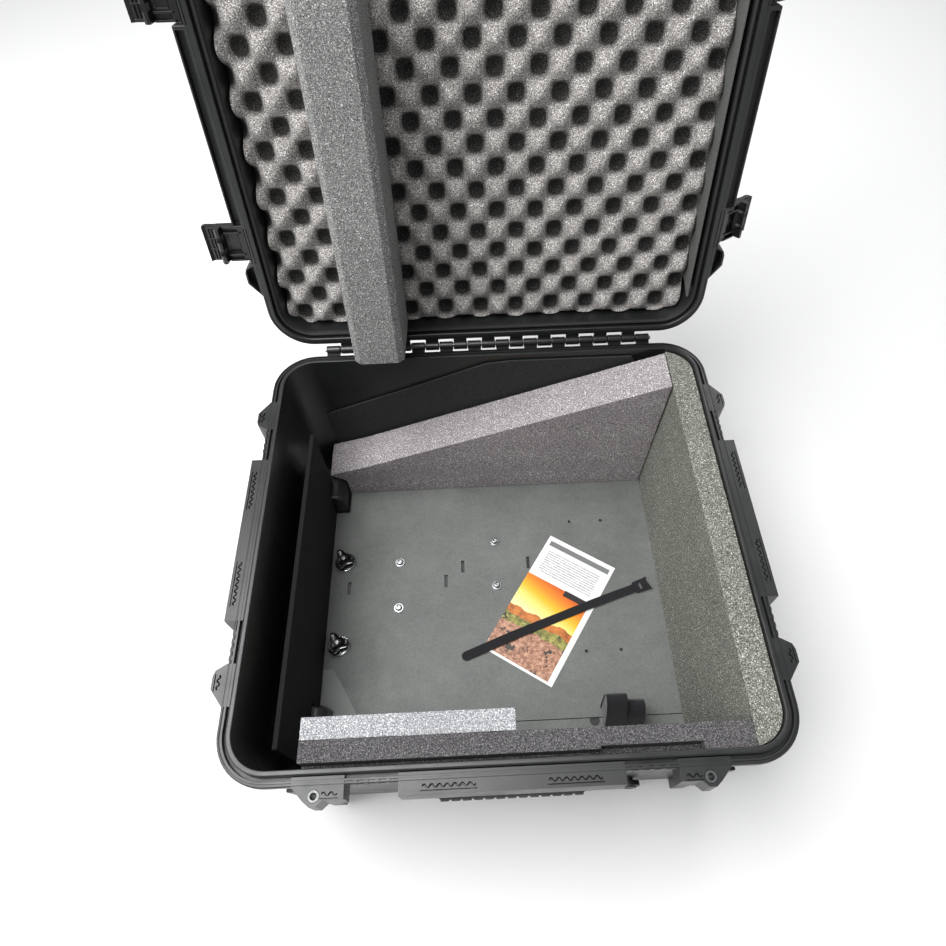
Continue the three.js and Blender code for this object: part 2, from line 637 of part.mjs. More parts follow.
const plates = floorPlates();
part(carryingCase, "floor_plate", plates.back, paint(0x4c514e, 0.6));
part(carryingCase, "floor_plate_front", plates.front, paint(0x4c514e, 0.6));
BOLTS.forEach(([x, y], i) => {
  part(carryingCase, `plate_bolt_${i + 1}`, boltGeometry(), steel()).position.set(x, y, 0);
});
for (const { name, y } of KNOBS) {
  const disc = cylinder("z", 15.5, PLATE.top + FIT, PLATE.top + 4.2, [KNOB_X, y], 24);
  part(carryingCase, `knob_disc_${name}`, disc, steel());
  part(carryingCase, `plate_knob_${name}`, knobGeometry(), latchBlack()).position.set(KNOB_X, y, 0);
}

part(carryingCase, "foam_back_block", backBlock(), foamGrey());
part(carryingCase, "foam_right_slab", rightSlab(), foamDark());
part(carryingCase, "foam_front_slab", frontSlab(), foamDark());
part(carryingCase, "foam_front_block", frontBlock(), foamGrey());
part(carryingCase, "divider_board", dividerBoard(), paint(0x1c1e1e, 0.8));
part(carryingCase, "back_sheet", backSheet(), paint(0x2b2c2b, 0.85));

const sheet = part(carryingCase, "leaflet", leaflet(), paint(0xe8e2d8, 0.35));
sheet.position.set(77, -21, 0);
sheet.rotation.z = -0.576;
const tie = part(carryingCase, "tie_strap", tieStrap(), paint(0x0f0f10, 0.85));
tie.position.set(-57, -92, PLATE.top + 1.6);
tie.rotation.z = Math.atan2(101, 284);
part(carryingCase, "strap_loop", strapLoop(), paint(0x101012, 0.9));

for (const [name, side] of [["front", -1], ["back", 1]]) {
  part(carryingCase, `wheel_${name}`, wheel(side), rubber());
  part(carryingCase, `wheel_axle_${name}`, wheelAxle(side), steel());
  part(carryingCase, `trolley_guide_${name}`, trolleyGuide(side), latchBlack());
}
part(carryingCase, "trolley_handle", trolleyHandle(), paint(0x9a9da0, 0.35, 1));
part(carryingCase, "trolley_button", trolleyButton(), paint(0x7a1d1d, 0.5));
part(carryingCase, "padlock_eye_left", eyelet(-1), steel());
part(carryingCase, "padlock_eye_right", eyelet(1), steel());
addFoldHandle(carryingCase, "front", FRONT_WALL, FRONT_TURN, false);
addFoldHandle(carryingCase, "left", LEFT_WALL, LEFT_TURN, true);

const lid = new THREE.Group();
lid.position.set(0, HINGE_Y, PARTING_Z);
lid.rotation.x = -LID_OPEN;
carryingCase.add(lid);
part(lid, "lid_shell", lidShell(), shellBlack());
part(lid, "lid_seal", lidSeal(), rubber());
addLidInserts(lid);
addLatches(lid);

export default carryingCase;
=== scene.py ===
"""Looks of the drone carrying case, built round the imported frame.

The case stands on the floor, +X right, +Y towards the hinge, +Z up. Shapes are drawn in millimetres and turned
into metres when a piece is made. The lid and its latches are drawn shut, then swung open to their rest place.
"""

import math

import bmesh
import bpy
from mathutils import Matrix, Vector, noise


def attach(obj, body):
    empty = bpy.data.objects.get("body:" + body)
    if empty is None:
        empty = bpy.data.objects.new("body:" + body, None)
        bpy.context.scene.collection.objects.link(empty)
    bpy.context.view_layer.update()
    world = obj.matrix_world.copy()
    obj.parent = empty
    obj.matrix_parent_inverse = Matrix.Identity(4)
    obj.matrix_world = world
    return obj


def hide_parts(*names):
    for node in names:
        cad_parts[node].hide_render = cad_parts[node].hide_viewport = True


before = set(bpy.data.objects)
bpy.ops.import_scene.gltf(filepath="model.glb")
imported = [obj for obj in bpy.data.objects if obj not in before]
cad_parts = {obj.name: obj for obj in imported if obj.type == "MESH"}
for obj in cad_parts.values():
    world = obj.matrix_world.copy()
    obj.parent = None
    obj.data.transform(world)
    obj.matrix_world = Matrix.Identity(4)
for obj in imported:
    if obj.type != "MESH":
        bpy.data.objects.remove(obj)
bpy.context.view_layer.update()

MM = 0.001
PARTING = 258.0  # the plane where lid and base meet
TOP = 257.7  # top of the base's flange
LOW = PARTING + 0.3  # underside of the shut lid's flange
HINGE_Y = 294.0
LID_OPEN = math.radians(102.2)
CAVITY = (286, 268, 40)  # half length, half width and corner radius at the rim
DRAFT = 0.0385  # how much narrower the base is at the floor, as a share
FLOOR_TOP = 22
PLATE_TOP = 25.4
CORNER_STEPS = 14  # facets in each rounded corner of a ring
SHARP = math.radians(32)  # the least turn between faces that makes an edge worth rounding
NEAR_AXIS = 0.001  # the radius that closes the end of a turned solid

# Distance from the middle to the outside of the flange, on the sides and in front
EDGE_X = 301.8
EDGE_Y = 283.8
OUT = 12.5  # how far ledges stand out from the flange
LEDGE = 108.5  # half length of a side ledge
BUMP = 157  # where along a side the bumps start
EYE = (9.3, 196.5)  # a padlock hole: out from the flange, and along it
# side, turn in degrees, distance of its edge, half length of its ledge
SIDES = [("right", 0, EDGE_X, LEDGE), ("left", 180, EDGE_X, LEDGE), ("front", -90, EDGE_Y, LEDGE + 5)]

HINGE_HALF = 233
KNUCKLES = 23
KNUCKLE_PITCH = 2 * HINGE_HALF / KNUCKLES
WHEEL = (-287.5, 185, 30.5)  # centre of the back wheel; the front one is mirrored
VALVE = (150, 0, 60)
GRIP_Z = 218  # height of the fold-down grips' pivots

LATCH_OUT = 6.5  # how far a latch's pivot stands out from the flange
# name, turn in degrees, place along the edge, distance of the pivot, opening at rest in degrees
LATCHES = [
    ("left_front", 180, 133, EDGE_X + LATCH_OUT, 90), ("left_back", 180, -133, EDGE_X + LATCH_OUT, 90),
    ("right_front", 0, -133, EDGE_X + LATCH_OUT, 125), ("right_back", 0, 133, EDGE_X + LATCH_OUT, 125),
    ("front_left", -90, -140, EDGE_Y + LATCH_OUT, 100), ("front_right", -90, 140, EDGE_Y + LATCH_OUT, 100),
]

# piece, CAD node, look, body
FOAM_BLOCKS = [
    ("foam_beam_lid", "foam_beam", "beam", "lid"),
    ("foam_wedge_back", "foam_back_block", "wedge", "case_base"),
    ("foam_wall_right", "foam_right_slab", "dark", "case_base"),
    # The front slab wears the charcoal foam darkened: painted shade.
    ("foam_wall_front", "foam_front_slab", "shaded_charcoal", "case_base"),
    ("foam_step_front", "foam_front_block", "silver", "case_base"),
]
FOAM_GRID = 13  # spacing of the points that let a cut face be uneven
FOAM_WOBBLE = 0.5
# The convoluted foam: extent in x and away from the hinge, spacing of its waves, and heights above the parting
CRATE = {
    "x": (-281, 276.5), "d": (31, 556), "row": 27.4, "pitch": 50.0, "peak": 14.6, "pit": 37.5, "back": 49.6,
}
CRATE_CELLS = 150

BOLTS = [(-150, 62), (-150, -12), (-2, 91), (-2, 17)]
KNOB_X = -235
LEAFLET = (112, 209)

# CAD nodes whose own shape is kept, with their look and the rounding of their edges
KEPT_SHAPES = [
    ("hinge_pin", "steel", 0), ("padlock_eye_left", "dull", 0), ("padlock_eye_right", "dull", 0),
    ("floor_plate", "plate", 0.35), ("floor_plate_front", "plate", 0.35),
    ("knob_disc_back", "bright", 0.5), ("knob_disc_front", "bright", 0.5),
    ("divider_board", "board", 0.8), ("back_sheet", "sheet", 0.5), ("lid_side_board", "lid_board", 0.5),
    ("front_handle_pin_a", "steel", 0), ("front_handle_pin_b", "steel", 0),
    ("wheel_axle_front", "steel", 0.5), ("wheel_axle_back", "steel", 0.5),
    ("trolley_guide_front", "gloss", 0.6), ("trolley_guide_back", "gloss", 0.6),
    ("trolley_handle", "tube", 0.6), ("trolley_button", "button", 0.5),
    *[(f"latch_pin_{latch[0]}", "steel", 0) for latch in LATCHES],
]

LOOKS = {}  # look: (material, slot), filled by make_looks
ROUNDED = []  # (piece, edge rounding in millimetres) of every piece, for round_edges


# Camera and stage ----------------------------------------

def make_camera():
    data = bpy.data.cameras.new("camera")
    data.lens = 25.82
    data.sensor_width = 36
    data.shift_x = -0.0203
    data.shift_y = -0.0017
    data.clip_start = 0.02
    camera = bpy.data.objects.new("camera", data)
    camera.location = (-0.01726, -0.38794, 0.98920)
    camera.rotation_euler = [math.radians(a) for a in (32.354, 0.585, -2.543)]
    bpy.context.scene.collection.objects.link(camera)
    bpy.context.scene.camera = camera


def add_light(name, place, target, size, watts):
    data = bpy.data.lights.new(name, "AREA")
    data.shape = "RECTANGLE"
    data.size, data.size_y = size
    data.energy = watts
    light = bpy.data.objects.new(name, data)
    light.location = place
    light.rotation_euler = (Vector(target) - Vector(place)).to_track_quat("-Z", "Y").to_euler()
    bpy.context.scene.collection.objects.link(light)


def make_stage():
    mesh = bpy.data.meshes.new("floor")
    half = 6
    corners = [(-half, -half, 0), (half, -half, 0), (half, half, 0), (-half, half, 0)]
    mesh.from_pydata(corners, [], [(0, 1, 2, 3)])
    floor = bpy.data.objects.new("floor", mesh)
    bpy.context.scene.collection.objects.link(floor)
    floor.location.z = -0.0005
    mesh.materials.append(Look("floor_pale", (235, 235, 234), 0.9).material)
    world = bpy.data.worlds.new("world")
    world.use_nodes = True
    background = world.node_tree.nodes["Background"]
    background.inputs["Color"].default_value = (0.95, 0.97, 1.0, 1)
    background.inputs["Strength"].default_value = 0.34
    bpy.context.scene.world = world
    add_light("key", (-1.0, -0.05, 2.7), (-0.1, 0.05, 0.1), (2.2, 2.0), 104)
    add_light("fill", (-2.0, -1.0, 1.6), (0, 0.2, 0.3), (1.2, 1.2), 16)
    add_light("back", (0.9, 2.3, 2.2), (0, 0.2, 0.3), (1.6, 1.0), 26)
    bpy.context.scene.view_settings.view_transform = "Standard"


# Materials ----------------------------------------

def linear(rgb):
    """A display colour, 0 to 255, as the linear colour that shaders take."""
    return [(c / 255 / 12.92) if c <= 10 else ((c / 255 + 0.055) / 1.055) ** 2.4 for c in rgb] + [1]


class Look:
    """A Principled material under construction. Its patterns run in object space, in metres."""

    COLOUR_INPUTS = (0, 6, 7)  # the Mix node's sockets for colours: factor, A and B
    COLOUR_OUTPUT = 2

    def __init__(self, name, rgb, roughness, metallic=0.0, **sockets):
        self.material = bpy.data.materials.new(name)
        self.material.use_nodes = True
        self.nodes = self.material.node_tree.nodes
        self.links = self.material.node_tree.links
        self.shader = self.nodes["Principled BSDF"]
        self.shader.inputs["Base Color"].default_value = linear(rgb)
        self.shader.inputs["Roughness"].default_value = roughness
        self.shader.inputs["Metallic"].default_value = metallic
        for socket, value in sockets.items():
            self.shader.inputs[socket.replace("_", " ")].default_value = value
        self.place = self.nodes.new("ShaderNodeTexCoord").outputs["Object"]
        self.normal = None

    def feed(self, socket, value):
        """Links a value that another node makes, or sets a constant."""
        if isinstance(value, bpy.types.NodeSocket):
            self.links.new(value, socket)
        else:
            socket.default_value = linear(value) if isinstance(value, tuple) else value

    def noise(self, scale, detail=2.0, rough=0.5, stretch=(1, 1, 1)):
        vector = self.place
        if stretch != (1, 1, 1):
            mapping = self.nodes.new("ShaderNodeMapping")
            mapping.inputs["Scale"].default_value = stretch
            self.links.new(self.place, mapping.inputs["Vector"])
            vector = mapping.outputs["Vector"]
        node = self.nodes.new("ShaderNodeTexNoise")
        node.inputs["Scale"].default_value = scale
        node.inputs["Detail"].default_value = detail
        node.inputs["Roughness"].default_value = rough
        self.links.new(vector, node.inputs["Vector"])
        return node.outputs["Fac"]

    def ramp(self, source, *stops):
        """Turns a value into a colour. A stop is (position, display colour) or (position, grey from 0 to 1)."""
        node = self.nodes.new("ShaderNodeValToRGB")
        elements = node.color_ramp.elements
        while len(elements) < len(stops):
            elements.new(0.5)
        for element, (position, colour) in zip(elements, stops):
            element.position = position
            element.color = linear(colour) if isinstance(colour, tuple) else (colour, colour, colour, 1)
        self.links.new(source, node.inputs["Fac"])
        return node.outputs["Color"]

    def mix(self, factor, first, second, blend="MIX"):
        node = self.nodes.new("ShaderNodeMix")
        node.data_type = "RGBA"
        node.blend_type = blend
        for index, value in zip(self.COLOUR_INPUTS, (factor, first, second)):
            self.feed(node.inputs[index], value)
        return node.outputs[self.COLOUR_OUTPUT]

    def math(self, operation, first, second=0.0):
        node = self.nodes.new("ShaderNodeMath")
        node.operation = operation
        self.feed(node.inputs[0], first)
        self.feed(node.inputs[1], second)
        return node.outputs[0]

    def times(self, *factors):
        product = factors[0]
        for factor in factors[1:]:
            product = self.math("MULTIPLY", product, factor)
        return product

    def above(self, value, limit):
        return self.math("GREATER_THAN", value, limit)

    def below(self, value, limit):
        return self.math("LESS_THAN", value, limit)

    def between(self, value, low, high):
        return self.times(self.above(value, low), self.below(value, high))

    def attribute(self, name):
        node = self.nodes.new("ShaderNodeAttribute")
        node.attribute_name = name
        return node.outputs["Fac"]

    def bump(self, height, strength, depth_mm):
        node = self.nodes.new("ShaderNodeBump")
        node.inputs["Strength"].default_value = strength
        node.inputs["Distance"].default_value = depth_mm * MM
        self.links.new(height, node.inputs["Height"])
        if self.normal is not None:
            self.links.new(self.normal, node.inputs["Normal"])
        self.normal = node.outputs["Normal"]
        self.links.new(self.normal, self.shader.inputs["Normal"])

    def colour(self, source):
        self.links.new(source, self.shader.inputs["Base Color"])

    def roughness(self, source):
        self.links.new(source, self.shader.inputs["Roughness"])


def moulded(name, dark, light, low, high, grain=0.25):
    """Injection-moulded polymer: fine grain, faint flow marks and handling smudges."""
    look = Look(name, dark, low, Specular_IOR_Level=0.7)
    smudge = look.noise(7, 4, 0.6)
    fine = look.noise(1500, 2)
    look.colour(look.ramp(smudge, (0.3, dark), (0.75, light)))
    look.roughness(look.ramp(look.noise(26, 5, 0.65), (0.3, low), (0.7, high)))
    look.bump(fine, grain, 0.12)
    look.bump(look.noise(60, 2), 0.08, 0.4)
    return look.material


def foam(name, dark, middle, light, scale=780, depth=0.6, pit=None):
    """Closed-cell foam: pores about a millimetre across, with painted glints of the cell walls as pale specks
    in the colour.
    """
    look = Look(name, middle, 0.9, Specular_IOR_Level=0.2)
    cells = look.noise(scale, 1.0, 0.6)
    tone = look.ramp(cells, (0.3, dark), (0.5, middle), (0.7, light))
    # Painted glints: pale specks mixed into the colour where light would glint on the cell walls.
    painted_glints = look.ramp(look.noise(scale * 0.8, 0.0), (0.68, 0.0), (0.78, 1.0))
    tone = look.mix(painted_glints, tone, tuple(min(255, c * 1.25) for c in light))
    cloud = look.ramp(look.noise(11, 3), (0.3, 0.86), (0.7, 1.0))
    tone = look.mix(1.0, tone, cloud, "MULTIPLY")
    # Painted shade: the colour is darkened deep in the pits, by the pit value of each point.
    if pit is not None:
        tone = look.mix(1.0, tone, look.ramp(look.attribute(pit), (0.5, 1.0), (0.76, 0.1)), "MULTIPLY")
    look.colour(tone)
    look.bump(cells, 0.4, depth)
    return look.material


def metal(name, rgb, low, high, stretch=(1, 1, 12)):
    look = Look(name, rgb, low, 1.0)
    brush = look.noise(420, 3, 0.6, stretch)
    look.roughness(look.ramp(brush, (0.3, low), (0.7, high)))
    look.colour(look.ramp(look.noise(40, 3), (0.3, tuple(c * 0.86 for c in rgb)), (0.7, rgb)))
    look.bump(brush, 0.12, 0.05)
    return look.material


def hook_and_loop(name):
    look = Look(name, (19, 19, 21), 0.95, Sheen_Weight=0.3, Sheen_Roughness=0.4)
    fuzz = look.noise(1500, 2, 0.7)
    look.colour(look.ramp(fuzz, (0.35, (12, 12, 14)), (0.7, (40, 40, 44))))
    look.bump(fuzz, 0.8, 0.5)
    look.bump(look.noise(500, 2, 0.5, (1, 1, 3)), 0.4, 0.4)
    return look.material


def plate_material():
    """Satin plastic sheet, mottled by handling, with long faint drag marks."""
    look = Look("plate_polymer", (104, 107, 104), 0.5, Specular_IOR_Level=0.4)
    cloud = look.noise(13, 5, 0.66)
    drag = look.noise(30, 3, 0.6, (1, 3, 1))
    base = look.ramp(cloud, (0.32, (92, 95, 92)), (0.52, (104, 107, 104)), (0.72, (120, 122, 119)))
    base = look.mix(0.15, base, look.ramp(drag, (0.35, (92, 96, 93)), (0.68, (126, 127, 124))))
    speckle = look.ramp(look.noise(420, 3, 0.7), (0.35, (88, 91, 89)), (0.68, (134, 136, 133)))
    look.colour(look.mix(0.3, base, speckle))
    look.roughness(look.ramp(look.noise(24, 5, 0.7), (0.3, 0.42), (0.7, 0.6)))
    look.bump(look.noise(1100, 2), 0.2, 0.12)
    look.bump(look.noise(15, 2), 0.12, 1.2)
    return look.material


def board_material(name, dark, light):
    """Pressed fibre board with a dull, slightly hairy face."""
    look = Look(name, dark, 0.82, Specular_IOR_Level=0.3)
    look.colour(look.ramp(look.noise(480, 4, 0.7), (0.36, dark), (0.68, light)))
    look.bump(look.noise(900, 3, 0.7), 0.35, 0.3)
    look.bump(look.noise(18, 2), 0.15, 1.0)
    return look.material


def leaflet_material():
    """Printed card: a plain landscape at dusk under a white block with grey bands."""
    look = Look("printed_card", (236, 236, 234), 0.38, Coat_Weight=0.25, Coat_Roughness=0.2)
    uv = look.nodes.new("ShaderNodeTexCoord").outputs["UV"]
    split = look.nodes.new("ShaderNodeSeparateXYZ")
    look.links.new(uv, split.inputs[0])
    u, v = split.outputs[0], split.outputs[1]
    wander = look.times(look.noise(38, 3), 0.10)
    sky = look.ramp(look.math("ADD", v, look.times(u, 0.12)),
                    (0.40, (255, 238, 176)), (0.50, (250, 226, 120)), (0.56, (247, 190, 40)),
                    (0.63, (238, 140, 30)), (0.70, (214, 96, 22)))
    hills = look.ramp(look.noise(70, 4, 0.7), (0.35, (150, 78, 30)), (0.6, (214, 130, 58)))
    ground = look.ramp(look.noise(210, 5, 0.75),
                       (0.32, (92, 62, 46)), (0.5, (176, 124, 98)), (0.66, (222, 182, 152)))
    shrubs = look.ramp(look.noise(120, 4, 0.7),
                       (0.3, (46, 50, 34)), (0.55, (150, 146, 70)), (0.7, (206, 196, 120)))
    level = look.math("ADD", v, wander)
    picture = look.mix(look.above(level, 0.435), hills, sky)
    picture = look.mix(look.below(level, 0.375), picture, shrubs)
    picture = look.mix(look.below(level, 0.315), picture, ground)
    patches = look.above(look.noise(46, 3, 0.6), 0.585)
    picture = look.mix(look.times(patches, look.below(level, 0.36)), picture, (62, 54, 48))
    in_picture = look.times(look.between(v, 0.018, 0.655), look.between(u, 0.0, 0.925))
    page = look.mix(in_picture, (240, 240, 238), picture)
    band = look.times(look.between(v, 0.925, 0.965), look.between(u, 0.05, 0.95))
    page = look.mix(band, page, (122, 124, 124))
    lines = look.above(look.math("SINE", look.times(v, 330.0)), 0.25)
    strokes = look.above(look.noise(900, 1), 0.43)
    column = look.times(look.between(v, 0.70, 0.885), look.between(u, 0.09, 0.88))
    page = look.mix(look.times(look.times(lines, strokes), column), page, (150, 152, 156))
    tag = look.times(look.between(v, 0.615, 0.66), look.between(u, 0.56, 0.925))
    page = look.mix(tag, page, (38, 34, 30))
    look.colour(page)
    look.bump(look.noise(30, 2), 0.1, 0.6)
    return look.material


# Mesh tools. Everything here works in millimetres. ----------------------------------------

def circle(radius, steps, centre=(0, 0), start=0.0, step=None):
    """Points on a circle, step degrees apart from start. They go all the way round unless step is set."""
    step = 360 / steps if step is None else step
    turns = [math.radians(start + step * i) for i in range(steps)]
    return [(centre[0] + radius * math.cos(a), centre[1] + radius * math.sin(a)) for a in turns]


def rounded_ring(half_x, half_y, radius, z, centre=(0, 0), steps=CORNER_STEPS):
    points = []
    for corner, (sx, sy) in enumerate([(1, 1), (-1, 1), (-1, -1), (1, -1)]):
        for i in range(steps + 1):
            a = math.radians(90 * corner + 90 * i / steps)
            points.append((centre[0] + sx * (half_x - radius) + radius * math.cos(a),
                           centre[1] + sy * (half_y - radius) + radius * math.sin(a), z))
    return points


def loft(rings, closed=False):
    """A solid skinned over rings of equal length, capped at both ends unless it closes on itself."""
    bm = bmesh.new()
    rows = [[bm.verts.new(p) for p in ring] for ring in rings]
    count = len(rows[0])
    pairs = list(zip(rows, rows[1:])) + ([(rows[-1], rows[0])] if closed else [])
    for low, high in pairs:
        for i in range(count):
            j = (i + 1) % count
            bm.faces.new((low[i], low[j], high[j], high[i]))
    if not closed:
        bm.faces.new(list(reversed(rows[0])))
        bm.faces.new(rows[-1])
    bmesh.ops.recalc_face_normals(bm, faces=bm.faces)
    return bm


def prism(outline, low, high, axis="z"):
    """A straight extrusion. The outline is (x, y) for axis z, (x, z) for axis y and (y, z) for axis x."""
    order = {"z": (0, 1, 2), "y": (0, 2, 1), "x": (2, 0, 1)}[axis]
    return loft([[[(a, b, level)[k] for k in order] for a, b in outline] for level in (low, high)])


def rectangle(x, y):
    return [(x[0], y[0]), (x[1], y[0]), (x[1], y[1]), (x[0], y[1])]


def block(x, y, z):
    return prism(rectangle(x, y), *z)


def lathe(profile, steps=32, axis="z", centre=(0, 0, 0), closed=False):
    """A solid of revolution from (radius, height) points. Where it is closed, the profile closes on itself."""
    turn = {"z": Matrix.Identity(3), "y": Matrix.Rotation(math.radians(-90), 3, "X"),
            "x": Matrix.Rotation(math.radians(90), 3, "Y")}[axis]
    rings = []
    for radius, height in profile:
        rings.append([turn @ Vector((x, y, height)) + Vector(centre) for x, y in circle(radius, steps)])
    return loft(rings, closed)


def mirrored(half):
    """A profile whose second half repeats the first, turned over."""
    return half + [(radius, -height) for radius, height in reversed(half)]


def cylinder(radius, low, high, steps, axis="z", centre=(0, 0, 0)):
    return lathe([(NEAR_AXIS, low), (radius, low), (radius, high), (NEAR_AXIS, high)], steps, axis, centre)


def sweep(path, section):
    """A rod that follows a path: the section is (side, up) offsets, kept square to the path."""
    rings = []
    for i, point in enumerate(path):
        ahead = Vector(path[min(i + 1, len(path) - 1)]) - Vector(path[max(i - 1, 0)])
        ahead.normalize()
        reference = Vector((0, 0, 1)) if abs(ahead.z) < 0.9 else Vector((0, 1, 0))
        side = ahead.cross(reference).normalized()
        up = side.cross(ahead)
        rings.append([Vector(point) + side * a + up * b for a, b in section])
    return loft(rings)


def grid_border(columns, rows):
    """The (i, j) points round a grid, each with the one after it."""
    spots = [(i, 0) for i in range(columns)] + [(columns, j) for j in range(rows)]
    spots += [(i, rows) for i in range(columns, 0, -1)] + [(0, j) for j in range(rows, 0, -1)]
    return zip(spots, spots[1:] + spots[:1])


def merged(*parts):
    """Several meshes as one. Each keeps its own closed surface."""
    whole = bmesh.new()
    for part in parts:
        mesh = bpy.data.meshes.new("part")
        part.to_mesh(mesh)
        part.free()
        whole.from_mesh(mesh)
        bpy.data.meshes.remove(mesh)
    return whole


def moved(bm, matrix):
    bmesh.ops.transform(bm, matrix=matrix, verts=bm.verts)
    return bm


def bisect(bm, level, facing):
    """Cuts every face that crosses the plane, and keeps both sides."""
    bmesh.ops.bisect_plane(bm, geom=[*bm.verts, *bm.edges, *bm.faces], plane_co=level, plane_no=facing)


def shift(x=0, y=0, z=0):
    return Matrix.Translation((x, y, z))


def turn_z(degrees):
    return Matrix.Rotation(math.radians(degrees), 4, "Z")


HINGE = shift(0, HINGE_Y, PARTING)
OPENED = HINGE @ Matrix.Rotation(-LID_OPEN, 4, "X") @ HINGE.inverted()


def apply_modifiers(piece):
    graph = bpy.context.evaluated_depsgraph_get()
    mesh = bpy.data.meshes.new_from_object(piece.evaluated_get(graph))
    piece.modifiers.clear()
    old, piece.data = piece.data, mesh
    bpy.data.meshes.remove(old)


def plain_object(name, bm):
    mesh = bpy.data.meshes.new(name)
    bm.to_mesh(mesh)
    bm.free()
    piece = bpy.data.objects.new(name, mesh)
    bpy.context.scene.collection.objects.link(piece)
    return piece


def boolean(bm, operation, *tools):
    """The mesh after cutting, joining or keeping what it shares with each tool in turn."""
    target = plain_object("target", bm)
    made = [plain_object("tool", tool) for tool in tools]
    for tool in made:
        modifier = target.modifiers.new("boolean", "BOOLEAN")
        modifier.operation = operation
        modifier.solver = "EXACT"
        modifier.object = tool
    bpy.context.view_layer.update()
    apply_modifiers(target)
    result = bmesh.new()
    result.from_mesh(target.data)
    for piece in [target, *made]:
        mesh = piece.data
        bpy.data.objects.remove(piece)
        bpy.data.meshes.remove(mesh)
    bmesh.ops.remove_doubles(result, verts=result.verts, dist=0.002)
    return result


def make(name, bm, look, body="case_base", edge=0.0, matrix=None, replaces=(), flat_limit=30):
    """The finished piece, placed and turned into metres. Its edges are rounded later, by edge millimetres."""
    if matrix is not None:
        moved(bm, matrix)
    bmesh.ops.recalc_face_normals(bm, faces=bm.faces)
    moved(bm, Matrix.Scale(MM, 4))
    piece = plain_object(name, bm)
    material, slot = LOOKS[look]
    piece.data.materials.append(material)
    piece.data.shade_smooth()
    if not edge:
        piece.data.set_sharp_from_angle(angle=math.radians(flat_limit))
    ROUNDED.append((piece, edge))
    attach(piece, body)
    if replaces:
        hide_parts(*replaces)
    return piece


def dress(node, look, edge):
    """Gives a CAD node whose shape is right its material, and rounded edges."""
    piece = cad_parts[node]
    piece.data.materials.clear()
    piece.data.materials.append(LOOKS[look][0])
    if edge:
        ROUNDED.append((piece, edge))


def round_edges():
    """Gives every piece its edge modifiers, once all the booleans are done."""
    for piece, edge in ROUNDED:
        if edge:
            weld = piece.modifiers.new("weld", "WELD")
            weld.merge_threshold = 0.02 * MM
            bevel = piece.modifiers.new("edges", "BEVEL")
            bevel.width = edge * MM
            bevel.segments = 2
            bevel.limit_method = "ANGLE"
            bevel.angle_limit = SHARP
        normals = piece.modifiers.new("normals", "WEIGHTED_NORMAL")
        normals.keep_sharp = True


def node_copy(node):
    """A CAD node's mesh in millimetres, welded, with flat faces whole again."""
    bm = bmesh.new()
    bm.from_mesh(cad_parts[node].data)
    moved(bm, Matrix.Scale(1 / MM, 4))
    bmesh.ops.remove_doubles(bm, verts=bm.verts, dist=0.01)
    bmesh.ops.dissolve_limit(bm, angle_limit=math.radians(0.6), verts=bm.verts, edges=bm.edges)
    return bm


# Shell ----------------------------------------

def draft_factor(z):
    return 1 - DRAFT * min(1, max(0, (PARTING - z) / (PARTING - FLOOR_TOP)))


def base_ring(out, z, drafted=True):
    """A ring of the base at a distance outside the cavity's rim."""
    k = draft_factor(z) if drafted else 1
    x, y, r = CAVITY
    return rounded_ring((x + out) * k, (y + out) * k, max(2.0, (r + out) * k), z)


RIM = [
    (15.8, TOP - 8.0), (15.8, TOP - 1.2), (15.4, TOP - 0.4), (14.6, TOP), (13.6, TOP), (13.4, TOP - 1.6),
    (12.3, TOP - 1.6), (12.1, TOP), (10.2, TOP), (9.9, TOP - 0.3), (9.8, TOP - 6), (6.1, TOP - 6),
    (6.0, TOP + 3.0), (5.2, TOP + 3.9), (4.0, TOP + 4.2), (1.4, TOP + 4.2), (0.5, TOP + 3.9), (0.0, TOP + 3.0),
]


def base_walls():
    rings = [base_ring(-6, 16.6), base_ring(0.5, 16.6), base_ring(3.5, 18.6), base_ring(5, 23)]
    rings += [base_ring(5, z) for z in (60, 120, 180, 230, TOP - 11)]
    rings += [base_ring(7, TOP - 9.4, False), base_ring(11, TOP - 8.2, False)]
    rings += [base_ring(out, z, False) for out, z in RIM]
    rings += [base_ring(0, z) for z in (TOP - 4, 230, 180, 120, 60, 26)]
    rings += [base_ring(-0.8, 23), base_ring(-2.6, FLOOR_TOP), base_ring(-16, FLOOR_TOP)]
    return loft(rings)


def wheel_bulge(side):
    """The inner housing of a wheel: a box whose edges towards the load are well rounded."""
    left, right, bottom, top, half, corner = -284, -236, 17.5, 68, 28, 16
    rounded = circle(corner, 7, (right - corner, top - corner), 0, 15)
    outline = [(left, bottom), (right, bottom), *rounded, (left, top)]
    middle = side * WHEEL[1]
    bm = prism(outline, middle - half, middle + half, "y")
    edges = [e for e in bm.edges if all(v.co.x > left + 1 and v.co.z > bottom + 0.5 for v in e.verts)
             and abs(e.verts[0].co.y - e.verts[1].co.y) < 1]
    bmesh.ops.bevel(bm, geom=edges, offset=6, segments=3, affect="EDGES", profile=0.5)
    return bm


def wheel_well(side):
    """What a wheel's housing cuts from the shell: a round space over the wheel, open outwards and below."""
    x, y, z = WHEEL
    y0, y1 = side * y - 21, side * y + 21
    radius = 33
    return [prism(circle(radius, 48, (x, z)), y0, y1, "y"), block((-330, x), (y0, y1), (-5, z + radius)),
            block((-288, -265.5), (y0, y1), (-5, 10))]


def zigzag(count, pitch, sway, width, low, high):
    """A wavy slot along X, centred on the origin."""
    steps = count * 6
    upper, lower = [], []
    for i in range(steps + 1):
        x = (i / steps - 0.5) * count * pitch
        y = sway * math.sin(2 * math.pi * i / 6)
        slope = math.atan2(sway * 2 * math.pi / pitch * math.cos(2 * math.pi * i / 6), 1)
        nx, ny = -math.sin(slope) * width / 2, math.cos(slope) * width / 2
        upper.append((x + nx, y + ny))
        lower.append((x - nx, y - ny))
    return prism(lower + upper[::-1], low, high)


